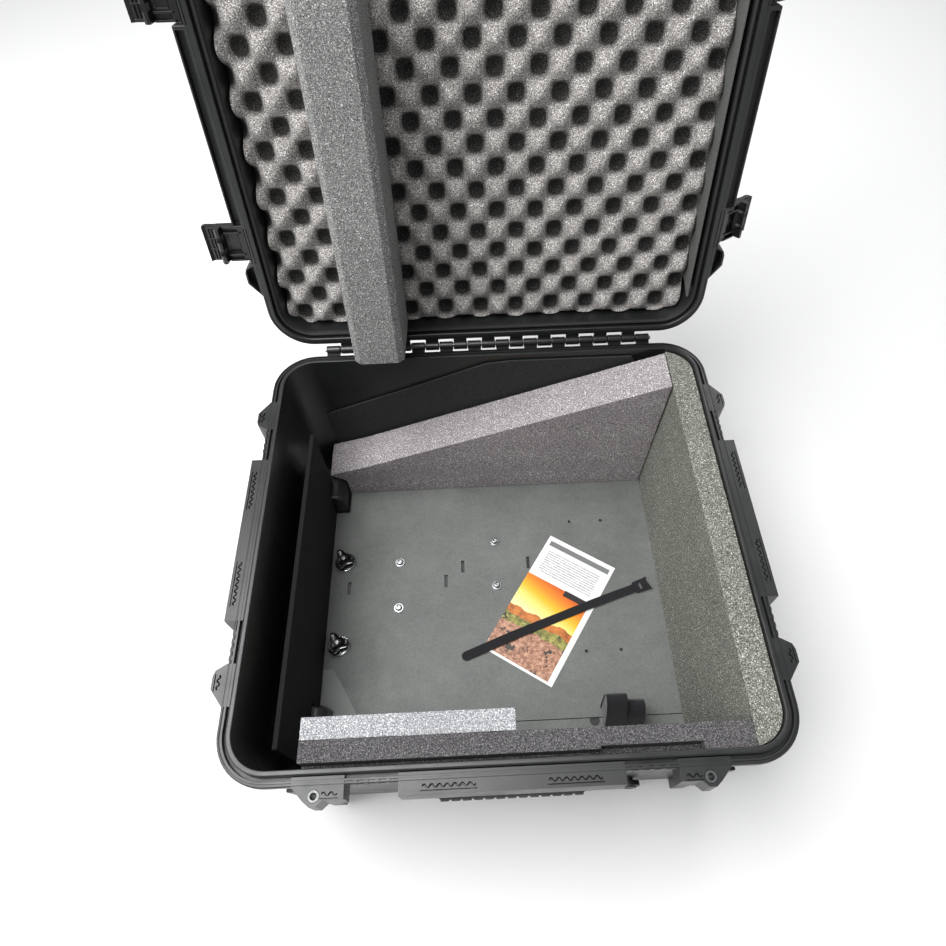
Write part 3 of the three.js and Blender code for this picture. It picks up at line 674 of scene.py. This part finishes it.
def bump_outline(edge):
    shape = [(-9, 0), (1, 0), (OUT, 7), (OUT + 2, 13), (OUT + 2, 27), (0, 46), (-9, 46)]
    return [(edge + out, BUMP + along) for out, along in shape]


def bump_pocket(edge):
    """The hollow under a lid bump."""
    shape = [(1.5, 2.6), (2.5, 3.2), (10.94, 8.04), (11.9, 13), (11.9, 25.96), (2.5, 40.44), (1.5, 41.84)]
    return [(edge + out, BUMP + along) for out, along in shape]


def tab_outline(edge):
    shape = [(-9, 10), (OUT, 10), (OUT, 30), (OUT + 6, 37), (OUT + 6, 44), (OUT + 1, 50), (0, 63), (-9, 63)]
    return [(edge + out, BUMP + along) for out, along in shape]


def at_end(points, end):
    """An outline drawn for the far end of an edge, turned over for the near end."""
    return points if end > 0 else [(x, -y) for x, y in points][::-1]


def ledge_outline(edge, half):
    return rectangle((edge - 9, edge + OUT), (-half, half))


def padlock_hole(edge, end, low, high):
    return cylinder(6.2, low - 5, high + 5, 20, "z", (edge + EYE[0], end * EYE[1], 0))


def edge_piece(outline, low, high, cuts, angle):
    return moved(boolean(prism(outline, low, high), "DIFFERENCE", *cuts), turn_z(angle))


def slot_group(x, y, count, top):
    """The core-outs of a ledge: a wavy slot beside a straight one. They run along Y at x."""
    pitch = 7.6
    wave = moved(zigzag(count, pitch, 1.7, 1.5, top - 5, top + 1), shift(x, y) @ turn_z(90))
    half = count * pitch / 2 + 1.5
    line_x = x + 4.1
    line = block((line_x - 0.45, line_x + 0.45), (y - half, y + half), (top - 3, top + 1))
    return [wave, line]


def latch_seat(edge, end, start, pitch):
    """The four strips that a latch hooks behind."""
    strips = []
    for k in range(4):
        y = end * (LEDGE + start + k * pitch)
        strips.append(block((edge - 6, edge + 0.6), (y - 2.6, y + 2.6), (TOP - 8.6, TOP - 0.6)))
    return merged(*strips)


def base_edges():
    low, high = TOP - 32, TOP - 0.25
    for side, angle, edge, half in SIDES:
        cuts = slot_group(edge + 4.8, -63, 7, high) + slot_group(edge + 4.8, 63, 7, high)
        cuts.append(block((edge - 20, edge + OUT - 3), (-half + 6, half - 6), (low - 2, low + 24)))
        bm = edge_piece(ledge_outline(edge, half), low, high, cuts, angle)
        make(f"base_ledge_{side}", bm, "black", edge=0.7)
        for end, suffix in ((-1, "a"), (1, "b")):
            if side == "front":
                kind, outline, seat = "tab", tab_outline(edge), latch_seat(edge, end, 15, 11)
                cuts = slot_group(edge + 7.5, end * (BUMP + 24), 2, high) + [padlock_hole(edge, end, low, high)]
            else:
                kind, outline, seat = "bump", bump_outline(edge), latch_seat(edge, end, 14, 9.5)
                cuts = slot_group(edge + 7.2, end * (BUMP + 20), 2, high)
            bm = edge_piece(at_end(outline, end), low, high, cuts, angle)
            make(f"base_{kind}_{side}_{suffix}", bm, "black", edge=0.8)
            make(f"base_latch_seat_{side}_{suffix}", moved(seat, turn_z(angle)), "black", edge=0.4)


def wall_slab(x, y, low, high):
    """An upright rib that follows the wall's draft."""
    rings = []
    for z, inset in ((low, 1.5), (low + 3, 0), (high, 0)):
        k = draft_factor(z)
        outline = rectangle((x[0] + inset, x[1] - inset), (y[0] + inset, y[1] - inset))
        rings.append([(a * k, b * k, z) for a, b in outline])
    return loft(rings)


def base_ribs():
    parts = []
    for y in (-95, -35, 35, 95):
        parts.append(wall_slab((288.5, 305.6), (y - 9, y + 9), 22.5, 226))
        parts.append(wall_slab((-305.6, -288.5), (y - 9, y + 9), 22.5, 165))
    for x in (-225, 225):
        parts.append(wall_slab((x - 9, x + 9), (-285.6, -270.5), 22.5, 226))
    for x in (-190, -95, 0, 95, 190):
        parts.append(wall_slab((x - 9, x + 9), (270.5, 283.6), 22.5, 250))
    return merged(*parts)


def pads(centres, half_x, half_y, radius, least, steps, levels):
    """Long rounded pads, one at each centre. Levels are (inset, z) from one end to the other."""
    parts = []
    for centre in centres:
        rings = []
        for inset, z in levels:
            corner = max(least, radius - inset)
            rings.append(rounded_ring(half_x - inset, half_y - inset, corner, z, centre, steps))
        parts.append(loft(rings))
    return merged(*parts)


def base_runners():
    centres = [(11, y) for y in (-205, -118, 0, 118, 205)]
    return pads(centres, 239, 8, 5, 1.5, 5, [(3, 0), (1, 1.2), (0, 4), (0, 18)])


def wheel_cheeks(side):
    """The two cheeks that hold a wheel's axle."""
    x, y, z = WHEEL
    radius = 20
    rounded = circle(radius, 10, (x, z), 100, 16)
    outline = [(-262, z - radius), (-262, 66), (x - 4, 66), *rounded, (x, z - radius)]
    cheeks = []
    for end in (-24, 24):
        middle = side * y + end
        cheeks.append(prism(outline, middle - 5, middle + 5, "y"))
    return merged(*cheeks)


def handle_bosses(angle, wall):
    """The two bored bosses that a fold-down grip turns in, on a wall at that distance from the middle."""
    outline = [(wall - 4, 207), (wall + 16, 207), (wall + 20, 211), (wall + 21, 218), (wall + 20, 225),
               (wall + 16, 229), (wall - 4, 232)]
    bore = circle(3.3, 16, (wall + 13, GRIP_Z))
    parts = []
    for y in (-89, 89):
        boss = prism(outline, y - 6, y + 6, "y")
        parts.append(boolean(boss, "DIFFERENCE", prism(bore, y - 8, y + 8, "y")))
    return moved(merged(*parts), turn_z(angle))


def knuckle_row(first, top_side):
    """Half of the hinge's knuckles, drawn shut: barrels on the hinge axis with a web to their own half."""
    parts = []
    for i in range(first, KNUCKLES, 2):
        x0 = i * KNUCKLE_PITCH - HINGE_HALF + 0.35
        x1 = x0 + KNUCKLE_PITCH - 0.7
        barrel = lathe([(2.7, x0), (5.2, x0), (6, x0 + 0.8), (6, x1 - 0.8), (5.2, x1), (2.7, x1)], 22, "x",
                       (0, HINGE_Y, PARTING), closed=True)
        z0, z1 = (PARTING + 0.7, PARTING + 5.6) if top_side else (PARTING - 5.6, PARTING - 0.7)
        inner = HINGE_Y - 12.5
        web = [(inner, z0), (HINGE_Y - 2.8, z0), (HINGE_Y - 3.2, z1), (inner, z1)]
        parts += [barrel, prism(web, x0 + 0.6, x1 - 0.6, "x")]
    return merged(*parts)


def build_base():
    walls = boolean(base_walls(), "UNION", wheel_bulge(-1), wheel_bulge(1))
    valve_bore = cylinder(6, -300, -240, 16, "y", VALVE)
    walls = boolean(walls, "DIFFERENCE", *wheel_well(-1), *wheel_well(1), valve_bore)
    make("base_walls", walls, "black", replaces=["base_shell"], flat_limit=38)
    base_edges()
    make("base_ribs", base_ribs(), "black", edge=1.2)
    make("base_runners", base_runners(), "black")
    make("wheel_cheeks_front", wheel_cheeks(-1), "black", edge=0.8)
    make("wheel_cheeks_back", wheel_cheeks(1), "black", edge=0.8)
    make("front_handle_bosses", handle_bosses(-90, 272), "joint", edge=0.8)
    make("left_handle_bosses", handle_bosses(180, 289.6), "joint", edge=0.8)
    make("base_knuckles", knuckle_row(0, False), "joint", edge=0.3)


# Lid ----------------------------------------

def lid_ring(out, rise, slope=0.02):
    """A ring of the shut lid at a distance outside the cavity's rim and a height above the parting plane."""
    k = 1 - slope * max(0.0, rise) / 64
    x, y, r = CAVITY
    return rounded_ring((x + out) * k, (y + out) * k, max(2.0, (r + out) * k), PARTING + rise)


def lid_walls():
    rings = [lid_ring(-30, 64), lid_ring(-10, 64), lid_ring(-3, 62.5), lid_ring(2.5, 58.5), lid_ring(4.6, 53)]
    rings += [lid_ring(5, z, 0.025) for z in (44, 30, 16)]
    rings += [lid_ring(6, 9.6, 0), lid_ring(10, 8.4, 0), lid_ring(15.8, 8.2, 0), lid_ring(15.8, 1.5, 0)]
    rings += [lid_ring(out, rise, 0) for out, rise in (
        (15.4, 0.7), (14.6, 0.3), (13.4, 0.3), (13.2, 1.6), (12.2, 1.6), (12.0, 0.3), (8.6, 0.3), (7.2, 0.5),
        (6.6, 1.2), (6.5, 8.9), (0.2, 8.9), (0, 9.2))]
    rings += [lid_ring(0, z) for z in (16, 30, 44)]
    rings += [lid_ring(-0.8, 48.5), lid_ring(-3.5, 51), lid_ring(-16, 51)]
    return loft(rings)


def lid_ridges():
    centres = [(x, 0) for x in (-150, -50, 50, 150)]
    levels = [(inset, PARTING + rise) for inset, rise in ((0, 58), (0, 70), (1.2, 73.6), (4, 75))]
    return pads(centres, 20, 225, 7, 2, 6, levels)


def lid_edges():
    low, high = LOW + 0.25, LOW + 26
    for side, angle, edge, half in SIDES:
        recess = block((edge + 1.6, edge + OUT - 2), (-half + 4, half - 4), (low - 2, low + 9))
        bm = edge_piece(ledge_outline(edge, half), low, high, [recess], angle)
        make(f"lid_ledge_{side}", bm, "black", "lid", edge=0.7, matrix=OPENED)
        for end, suffix in ((-1, "a"), (1, "b")):
            if side == "front":
                kind, outline, hollow = "tab", tab_outline(edge), padlock_hole(edge, end, low, high)
            else:
                kind, outline = "bump", bump_outline(edge)
                hollow = prism(at_end(bump_pocket(edge), end), low - 2, low + 16)
            bm = edge_piece(at_end(outline, end), low, high, [hollow], angle)
            make(f"lid_{kind}_{side}_{suffix}", bm, "black", "lid", edge=0.8, matrix=OPENED)


def build_lid():
    make("lid_walls", lid_walls(), "black", "lid", matrix=OPENED, replaces=["lid_shell"], flat_limit=38)
    make("lid_ridges", lid_ridges(), "black", "lid", matrix=OPENED)
    lid_edges()
    make("lid_knuckles", knuckle_row(1, True), "joint", "lid", edge=0.3, matrix=OPENED)
    seal = [lid_ring(out, rise, 0) for out, rise in (
        (0.6, 8.7), (0.6, 6.0), (1.2, 4.9), (2.6, 4.5), (4.0, 4.9), (4.4, 6.0), (4.4, 8.7))]
    make("lid_seal_ring", loft(seal, closed=True), "rubber", "lid", matrix=OPENED, replaces=["lid_seal"])


# Latches ----------------------------------------

def latch_lever():
    """The lever shut, its pivot at the origin, outward along +X."""
    profile = [(-3.0, -50), (3.2, -50), (5.6, -47.5), (6, -45), (5.2, -38), (6, -30), (6, 1), (4.6, 4), (2, 5),
               (-1, 5), (-4, 2), (-4, -6), (-1.0, -8), (-1.0, -24), (-4, -26), (-13, -26.5), (-13.5, -30),
               (-11, -33), (-4, -34), (-0.5, -36), (-0.5, -46)]
    plate = prism(profile, -23.4, 23.4, "y")
    window = block((-3, 8), (-12.3, 12.3), (-23.3, -8.7))
    bore = prism(circle(2.2, 12), -25, 25, "y")
    hook_gaps = [block((-16, -3.9), (y - 3.5, y + 3.5), (-36, -25.8)) for y in (-9, 9)]
    return boolean(plate, "DIFFERENCE", window, bore, *hook_gaps)


def latch_details():
    """Cheeks, stiffening ribs and grip bars inside the lever."""
    parts = []
    for y in (-22.4, -14.6, 14.6, 22.4):
        parts.append(prism([(-5.4, -24), (-0.8, -25.5), (-0.8, -5), (-3.4, -1), (-5.4, -4)], y - 1, y + 1, "y"))
    for z in (-39, -43):
        parts.append(block((-2.4, -0.3), (-20, 20), (z - 0.7, z + 0.7)))
    for y in (-21, -7, 7, 21):
        parts.append(block((-2.2, -0.3), (y - 0.8, y + 0.8), (-46, -35)))
    return merged(*parts)


def latch_button():
    """The release button in the lever's window, with four grip lines."""
    lines = [block((6.2, 7.1), (-8, 8), (z - 0.6, z + 0.6)) for z in (-12, -14.7, -17.4, -20)]
    return merged(block((1.6, 6.4), (-11.7, 11.7), (-22.7, -9.3)), *lines)


def spring(centre):
    """A coil spring round the latch's pin."""
    radius, wire, length, turns, per_turn = 2.9, 0.45, 7, 6, 12
    steps = turns * per_turn
    path = []
    for i in range(steps + 1):
        a = 2 * math.pi * i / per_turn
        path.append((radius * math.cos(a), centre - length / 2 + length * i / steps, radius * math.sin(a)))
    return sweep(path, circle(wire, 6))


def build_latches():
    lever = latch_lever()
    for name, angle, tangent, out, opened in LATCHES:
        place = OPENED @ turn_z(angle) @ shift(out, tangent, PARTING + 16)
        swing = place @ Matrix.Rotation(-math.radians(opened), 4, "Y")
        body, button_body = f"latch_{name}", f"latch_button_{name}"
        make(f"latch_lever_{name}", lever.copy(), "gloss", body, edge=0.6, matrix=swing, replaces=[body])
        make(f"latch_ribs_{name}", latch_details(), "gloss", body, edge=0.25, matrix=swing)
        make(f"latch_press_{name}", latch_button(), "gloss", button_body, edge=0.4, matrix=swing,
             replaces=[button_body])
        make(f"latch_spring_{name}", merged(spring(-28.4), spring(28.4)), "steel", "lid", matrix=place)
    lever.free()


# Foam ----------------------------------------

def cut_foam(node):
    """A foam block cut with a knife: the CAD solid's shape with softened edges and slightly uneven faces."""
    bm = node_copy(node)
    sharp = [e for e in bm.edges if len(e.link_faces) == 2 and e.calc_face_angle() > SHARP]
    bmesh.ops.bevel(bm, geom=sharp, offset=0.9, segments=2, profile=0.5, affect="EDGES", clamp_overlap=True)
    for axis in range(3):
        places = [v.co[axis] for v in bm.verts]
        at = min(places) + FOAM_GRID
        while at < max(places) - 1:
            level, facing = Vector(), Vector()
            level[axis], facing[axis] = at, 1
            bisect(bm, level, facing)
            at += FOAM_GRID
    bm.normal_update()
    for vertex in bm.verts:
        p = vertex.co
        drift = noise.noise(p * 0.022) * 0.7 + noise.noise(p * 0.09) * 0.3
        vertex.co = p + vertex.normal * (drift * FOAM_WOBBLE)
    return bm


def crate_height(x, d):
    """Height of the convoluted face above the parting plane, and how deep in a pit that is, from 0 to 1."""
    wave = math.cos(2 * math.pi * (x - 41.3) / CRATE["pitch"]) * math.cos(math.pi * (d - 47) / CRATE["row"])
    shaped = math.copysign(abs(wave) ** 0.8, wave)
    depth = 0.5 + 0.5 * shaped
    return CRATE["peak"] + (CRATE["pit"] - CRATE["peak"]) * depth, depth


def inside_corner(x, d):
    """Pulls a point of the square grid into the foam's rounded corners."""
    (x0, x1), (d0, d1) = CRATE["x"], CRATE["d"]
    radius = 34
    cx = min(max(x, x0 + radius), x1 - radius)
    cd = min(max(d, d0 + radius), d1 - radius)
    dx, dd = x - cx, d - cd
    if dx == 0 or dd == 0:
        return x, d
    square = max(abs(dx), abs(dd))
    length = math.hypot(dx, dd)
    return cx + dx * square / length, cd + dd * square / length


def crate_foam():
    """The lid's convoluted foam: a waved face, upright sides and a flat back, all one closed sheet."""
    (x0, x1), (d0, d1) = CRATE["x"], CRATE["d"]
    bm = bmesh.new()
    # Each point keeps its pit value, which the foam's material uses to paint shade in the pits.
    pit = bm.verts.layers.float.new("pit")
    front, back = [], []
    for j in range(CRATE_CELLS + 1):
        front_row, back_row = [], []
        for i in range(CRATE_CELLS + 1):
            x, d = inside_corner(x0 + (x1 - x0) * i / CRATE_CELLS, d0 + (d1 - d0) * j / CRATE_CELLS)
            rise, depth = crate_height(x, d)
            edge = min(x - x0, x1 - x, d - d0, d1 - d)
            x += 1.2 * noise.noise(Vector((x * 0.02, d * 0.02, 0)))
            d += 1.2 * noise.noise(Vector((x * 0.02, d * 0.02, 5)))
            rise += 1.6 * noise.noise(Vector((x * 0.012, d * 0.012, 9))) + max(0, 3 - edge) * 0.5
            vertex = bm.verts.new((x, HINGE_Y - d, PARTING + rise))
            vertex[pit] = depth
            front_row.append(vertex)
            back_row.append(bm.verts.new((x, HINGE_Y - d, PARTING + CRATE["back"])))
        front.append(front_row)
        back.append(back_row)
    for j in range(CRATE_CELLS):
        for i in range(CRATE_CELLS):
            bm.faces.new((front[j][i], front[j][i + 1], front[j + 1][i + 1], front[j + 1][i]))
            bm.faces.new((back[j][i], back[j + 1][i], back[j + 1][i + 1], back[j][i + 1]))
    for (i, j), (m, n) in grid_border(CRATE_CELLS, CRATE_CELLS):
        bm.faces.new((front[n][m], front[j][i], back[j][i], back[n][m]))
    return bm


def reach_divider(bm):
    """Stretches the upper left end of the back block until it meets the divider."""
    for vertex in bm.verts:
        if vertex.co.z > 70:
            vertex.co.x -= 10.5 * min(1, max(0, (-200 - vertex.co.x) / 40))


def build_foam():
    crate = make("lid_foam_convoluted", crate_foam(), "crate", "lid", matrix=OPENED, replaces=["lid_foam"],
                 flat_limit=60)
    for name, node, look, body in FOAM_BLOCKS:
        bm = cut_foam(node)
        if node == "foam_back_block":
            reach_divider(bm)
        piece = make(name, bm, look, body, replaces=[node], flat_limit=45)


# Floor plate and what lies on it ----------------------------------------

def bolt():
    """A button-head screw with a hexagon socket on a plain washer."""
    z = PLATE_TOP + 0.3
    washer = lathe([(2.6, z), (7.5, z), (7.5, z + 1.1), (7.1, z + 1.5), (2.6, z + 1.5)], 28, closed=True)
    head = lathe([(NEAR_AXIS, z + 1.5), (5.2, z + 1.5), (5.2, z + 2.6), (4.7, z + 4.4), (3.9, z + 5.6),
                  (NEAR_AXIS, z + 6)], 28)
    return merged(washer, boolean(head, "DIFFERENCE", prism(circle(2.7, 6), z + 3.0, z + 8)))


def knob(y):
    """A three-lobed clamping knob with a round dish in its top."""
    z = PLATE_TOP + 4.6
    rings = []
    for scale, rise in ((0.62, 0), (0.66, 1.5), (0.92, 4), (1.0, 7), (1.0, 12), (0.94, 14.6), (0.84, 15.4),
                        (0.62, 14.6), (0.40, 13.4)):
        ring = []
        for i in range(60):
            a = math.radians(6 * i)
            lobed = 12.4 + 4.2 * math.cos(3 * a) + 0.5 * math.cos(6 * a)
            r = (13 if scale < 0.6 else lobed) * scale
            ring.append((r * math.cos(a), r * math.sin(a), z + rise))
        rings.append(ring)
    return moved(loft(rings), shift(KNOB_X, y))


def knob_screw(y):
    return lathe([(NEAR_AXIS, 40), (3.4, 40), (3.4, 43.6), (2.8, 44.2), (NEAR_AXIS, 44.2)], 20,
                 centre=(KNOB_X, y, 0))


def leaflet_point(u, v, lift):
    """A point of the card, slightly bowed and lifting at one corner."""
    bow = 0.5 * math.sin(math.pi * v) * math.sin(math.pi * u)
    corner = 1.6 * max(0.0, u + v - 1.6) ** 2
    width, length = LEAFLET
    return width * (u - 0.5), length * (v - 0.5), PLATE_TOP + 0.45 + bow * 0.4 + corner + lift


def leaflet():
    """The leaflet's card as two sheets joined round their border, with texture coordinates for its print."""
    bm = bmesh.new()
    uv_layer = bm.loops.layers.uv.new("UVMap")
    nx, ny = 16, 30
    place = shift(77, -21) @ turn_z(math.degrees(-0.576))
    bottom, top = [[[bm.verts.new(place @ Vector(leaflet_point(i / nx, j / ny, lift))) for i in range(nx + 1)]
                    for j in range(ny + 1)] for lift in (0.0, 0.35)]

    def face(corners, spots):
        made = bm.faces.new(corners)
        for loop, (i, j) in zip(made.loops, spots):
            loop[uv_layer].uv = (i / nx, j / ny)

    for j in range(ny):
        for i in range(nx):
            spots = [(i, j), (i + 1, j), (i + 1, j + 1), (i, j + 1)]
            face([top[b][a] for a, b in spots], spots)
            face([bottom[b][a] for a, b in spots[::-1]], spots[::-1])
    for (i, j), (m, n) in grid_border(nx, ny):
        face([bottom[j][i], bottom[n][m], top[n][m], top[j][i]], [(0, 0)] * 4)
    return bm


def tie_strap():
    """A flat hook-and-loop tie: a long tongue with a rounded tip, and a wider head with its slot."""
    tip = 6.6
    outline = [(tip + x, y) for x, y in circle(tip, 9, start=270, step=-22.5)]
    outline += [(276, 6.0), (279, 9.0), (296, 9.4), (302, 10.5), (299.5, 4.5), (302, -10.5), (296, -9.4),
                (279, -9.0), (276, -6.0)]
    shape = boolean(prism(outline, 0, 1.7), "DIFFERENCE", block((285.5, 289.5), (-5, 5), (-1, 4)))
    bmesh.ops.triangulate(shape, faces=shape.faces)
    for k in range(1, 23):
        bisect(shape, (12 * k, 0, 0), (1, 0, 0))
    for vertex in shape.verts:
        x = vertex.co.x
        vertex.co.y += 2.4 * math.sin(math.pi * x / 302)
        vertex.co.z += 0.9 * (1 - math.cos(2 * math.pi * x / 151)) + max(0, x - 270) * 0.06
    tilt = math.degrees(math.atan2(101, 284))
    return moved(shape, shift(-57, -92, PLATE_TOP + 1.65) @ turn_z(tilt))


def band_arch(reach, height, lean):
    """One side of a bent band, as (y, z): an arch whose crown leans back."""
    foot = (-185, PLATE_TOP + 0.4)
    curve = [(math.cos(math.pi * i / 18), math.sin(math.pi * i / 18) ** 0.7) for i in range(19)]
    return [(foot[0] + lean * z + reach * y, foot[1] + height * z) for y, z in curve]


def strap_band():
    """The stiff band, bent over: a high arch beside a low one, and the web that closes the high one."""
    thick = 2.1
    parts = []
    for x0, x1, reach, height, lean in ((131, 158, 17, 66, 12), (156, 183, 16, 50, 6)):
        outer = band_arch(reach, height, lean)
        inner = band_arch(reach - thick, height - thick, lean)
        parts.append(prism(outer + inner[::-1], x0, x1, "x"))
    parts.append(prism(band_arch(17, 66, 12), 133, 134.5, "x"))
    return merged(*parts)


def plate_corner():
    """The paler front left corner of the plate, its edge towards the load slightly bowed."""
    outline = [(-254, -99), (-241, -99), (-229, -117), (-217, -138), (-206, -158), (-197, -177), (-194, -216),
               (-254, -216)]
    return prism(outline[::-1], PLATE_TOP - 0.2, PLATE_TOP + 0.35)


def build_floor():
    for i, (x, y) in enumerate(BOLTS, 1):
        make(f"socket_screw_{i}", moved(bolt(), shift(x, y)), "steel", edge=0.2,
             replaces=[f"plate_bolt_{i}"])
    for name, y in (("back", 66), ("front", -66)):
        body = f"plate_knob_{name}"
        make(f"clamp_knob_{name}", knob(y), "knob", body, replaces=[body], flat_limit=50)
        make(f"clamp_screw_{name}", knob_screw(y), "steel", body, edge=0.2)
    make("leaflet_card", leaflet(), "card", replaces=["leaflet"])
    make("cable_tie_flat", tie_strap(), "hook", edge=0.3, replaces=["tie_strap"])
    make("plate_corner_left", plate_corner(), "corner", edge=0.2)
    make("strap_band", strap_band(), "hook", edge=0.4, replaces=["strap_loop"])


# Handles, wheels and valve ----------------------------------------

def grip_handle():
    """A fold-down handle hanging from its pivot at the origin, outward along +X: two arms and a ribbed grip."""
    arm = [(-4, 4), (-2.5, 5), (2.5, 5), (4, 4), (6, -4), (7, -30), (-3.6, -30), (-5, -2)]
    parts = [prism(arm, y - 4, y + 4, "y") for y in (-78, 78)]
    profile = [(NEAR_AXIS, -78), (7.5, -78), (8.6, -76)]
    for i in range(13):
        y = -72 + 12 * i
        profile += [(10.2, y - 4.4), (10.4, y - 3.4), (10.4, y + 3.4), (10.2, y + 4.4), (8.9, y + 5.2),
                    (8.9, y + 6.8)]
    profile = profile[:-2] + [(8.6, 76.8), (7.5, 78), (NEAR_AXIS, 78)]
    parts.append(lathe(profile, 28, "y", (0.5, 0, -27)))
    return merged(*parts)


def grip_collar(y):
    """The bright steel end of the front grip."""
    return lathe(mirrored([(NEAR_AXIS, -1.4), (6.4, -1.4), (7.6, -0.6)]), 24, "y", (0, y, 0))


def stub(y):
    """A moulded stub that the left grip turns on."""
    return lathe(mirrored([(NEAR_AXIS, -10.4), (2.5, -10.4), (3, -9.8)]), 20, "y", (0, y, 0))


def wheel(side):
    """A solid wheel: grooved tyre, recessed web with six spokes, and a hub."""
    tyre = mirrored([(19.5, -14), (22.5, -18), (26, -18), (28.4, -16.6), (29, -14.5), (29, -6.5), (27.8, -5.8),
                     (27.8, -4.2), (29, -3.5)])
    centre = (WHEEL[0], side * WHEEL[1], WHEEL[2])
    web = mirrored([(4.4, -16.5), (8.5, -16.5), (9.5, -15), (10, -8), (19, -8), (20.2, -14)])
    spokes = []
    for k in range(6):
        spoke = block((8.8, 20), (-13.5, 13.5), (-1.6, 1.6))
        spokes.append(moved(spoke, shift(*centre) @ Matrix.Rotation(math.radians(60 * k), 4, "Y")))
    hub = merged(lathe(web, 40, "y", centre, closed=True), *spokes)
    return lathe(tyre, 48, "y", centre, closed=True), hub


def valve_cap():
    """The pressure valve's slotted cap and its stem."""
    cap = lathe([(NEAR_AXIS, -276), (8.4, -276), (9.2, -275.4), (9.2, -274.4), (10.4, -274.2), (12.6, -274.2),
                 (13, -273.6), (13, -268.8), (12.6, -268), (5.7, -268), (5.7, -260.4), (NEAR_AXIS, -260.4)], 32,
                "y", VALVE)
    x, _, z = VALVE
    return boolean(cap, "DIFFERENCE", block((x - 7, x + 7), (-278, -274.9), (z - 1.4, z + 1.4)))


def build_outside():
    front = turn_z(-90) @ shift(285, 0, GRIP_Z)
    make("front_grip", grip_handle(), "rubber", "front_handle", edge=0.5, matrix=front,
         replaces=["front_handle"])
    make("front_grip_ends", merged(grip_collar(-72.2), grip_collar(72.2)), "steel", "front_handle", edge=0.2,
         matrix=front)
    left = turn_z(180) @ shift(302.6, 0, GRIP_Z)
    left_grip = merged(grip_handle(), stub(-84), stub(84))
    make("left_grip", left_grip, "rubber", "left_handle", edge=0.5, matrix=left, replaces=["left_handle"])
    for name, side in (("front", -1), ("back", 1)):
        tyre, hub = wheel(side)
        body = f"wheel_{name}"
        make(f"wheel_tyre_{name}", tyre, "tyre", body, edge=0.3, replaces=[body])
        make(f"wheel_hub_{name}", hub, "gloss", body, edge=0.4)
    make("pressure_valve_cap", valve_cap(), "gloss", edge=0.3, replaces=["pressure_valve"])


# Whole case ----------------------------------------

def make_looks():
    """Every look's material, and its slot in the table of materials."""
    black = moulded("shell_polymer", (23, 24, 25), (33, 34, 34), 0.3, 0.46)
    gloss = moulded("fitting_polymer", (16, 16, 17), (25, 25, 26), 0.24, 0.4, 0.12)
    # The convoluted foam gets painted shade in its pits, from the pit value.
    crate = foam("foam_crate", (82, 80, 77), (150, 146, 143), (224, 220, 215), 760, 0.5, "pit")
    beam = foam("foam_beam_grey", (78, 78, 77), (124, 124, 123), (182, 182, 180), 850, 0.35)
    wedge = foam("foam_wedge_grey", (96, 91, 93), (152, 146, 148), (214, 207, 209))
    dark = foam("foam_charcoal", (66, 67, 62), (110, 111, 104), (174, 175, 166))
    # The charcoal foam again, darker: painted shade for the front slab.
    shaded_charcoal = foam("foam_charcoal_painted_shade", (48, 47, 49), (78, 76, 78), (122, 120, 121), 850, 0.4)
    silver = foam("foam_silver", (108, 109, 112), (156, 157, 160), (214, 215, 218))
    return {
        "black": (black, "shell_polymer"),
        "gloss": (gloss, "fitting_polymer"),
        "joint": (gloss, "shell_polymer"),
        "knob": (moulded("knob_polymer", (12, 12, 13), (20, 20, 21), 0.12, 0.24, 0.05), "fitting_polymer"),
        "rubber": (moulded("rubber_grip", (24, 24, 24), (36, 36, 36), 0.6, 0.8, 0.5), "rubber_grip"),
        "tyre": (moulded("wheel_rubber", (28, 28, 28), (44, 43, 42), 0.65, 0.85, 0.5), "wheel_rubber"),
        "steel": (metal("steel", (188, 190, 192), 0.2, 0.36), "steel"),
        "crate": (crate, "foam_light"),
        "beam": (beam, "foam_light"),
        "wedge": (wedge, "foam_light"),
        "dark": (dark, "foam_dark"),
        "shaded_charcoal": (shaded_charcoal, "foam_dark"),
        "silver": (silver, "foam_light"),
        "corner": (moulded("plate_pale", (122, 125, 122), (134, 136, 133), 0.5, 0.65, 0.2), "plate_polymer"),
        "card": (leaflet_material(), "printed_card"),
        "hook": (hook_and_loop("hook_and_loop"), "hook_and_loop"),
        # Only CAD nodes wear these, and a node keeps its own slot
        "dull": (metal("dull_steel", (112, 113, 114), 0.36, 0.52), None),
        "bright": (metal("bright_steel", (235, 236, 238), 0.08, 0.2), None),
        "tube": (metal("aluminium_tube", (170, 172, 174), 0.3, 0.45, (12, 1, 1)), None),
        "button": (moulded("button_red", (120, 24, 22), (140, 34, 30), 0.3, 0.45, 0.1), None),
        "plate": (plate_material(), None),
        "board": (board_material("board_black", (18, 19, 19), (40, 41, 41)), None),
        "sheet": (board_material("sheet_dark", (36, 38, 37), (56, 58, 56)), None),
        "lid_board": (board_material("lid_board_grey", (84, 86, 84), (108, 109, 106)), None),
    }


def main():
    make_camera()
    make_stage()
    LOOKS.update(make_looks())
    build_base()
    build_lid()
    build_latches()
    build_foam()
    build_floor()
    build_outside()
    for node, look, edge in KEPT_SHAPES:
        dress(node, look, edge)
    round_edges()


main()

bpy.context.view_layer.update()
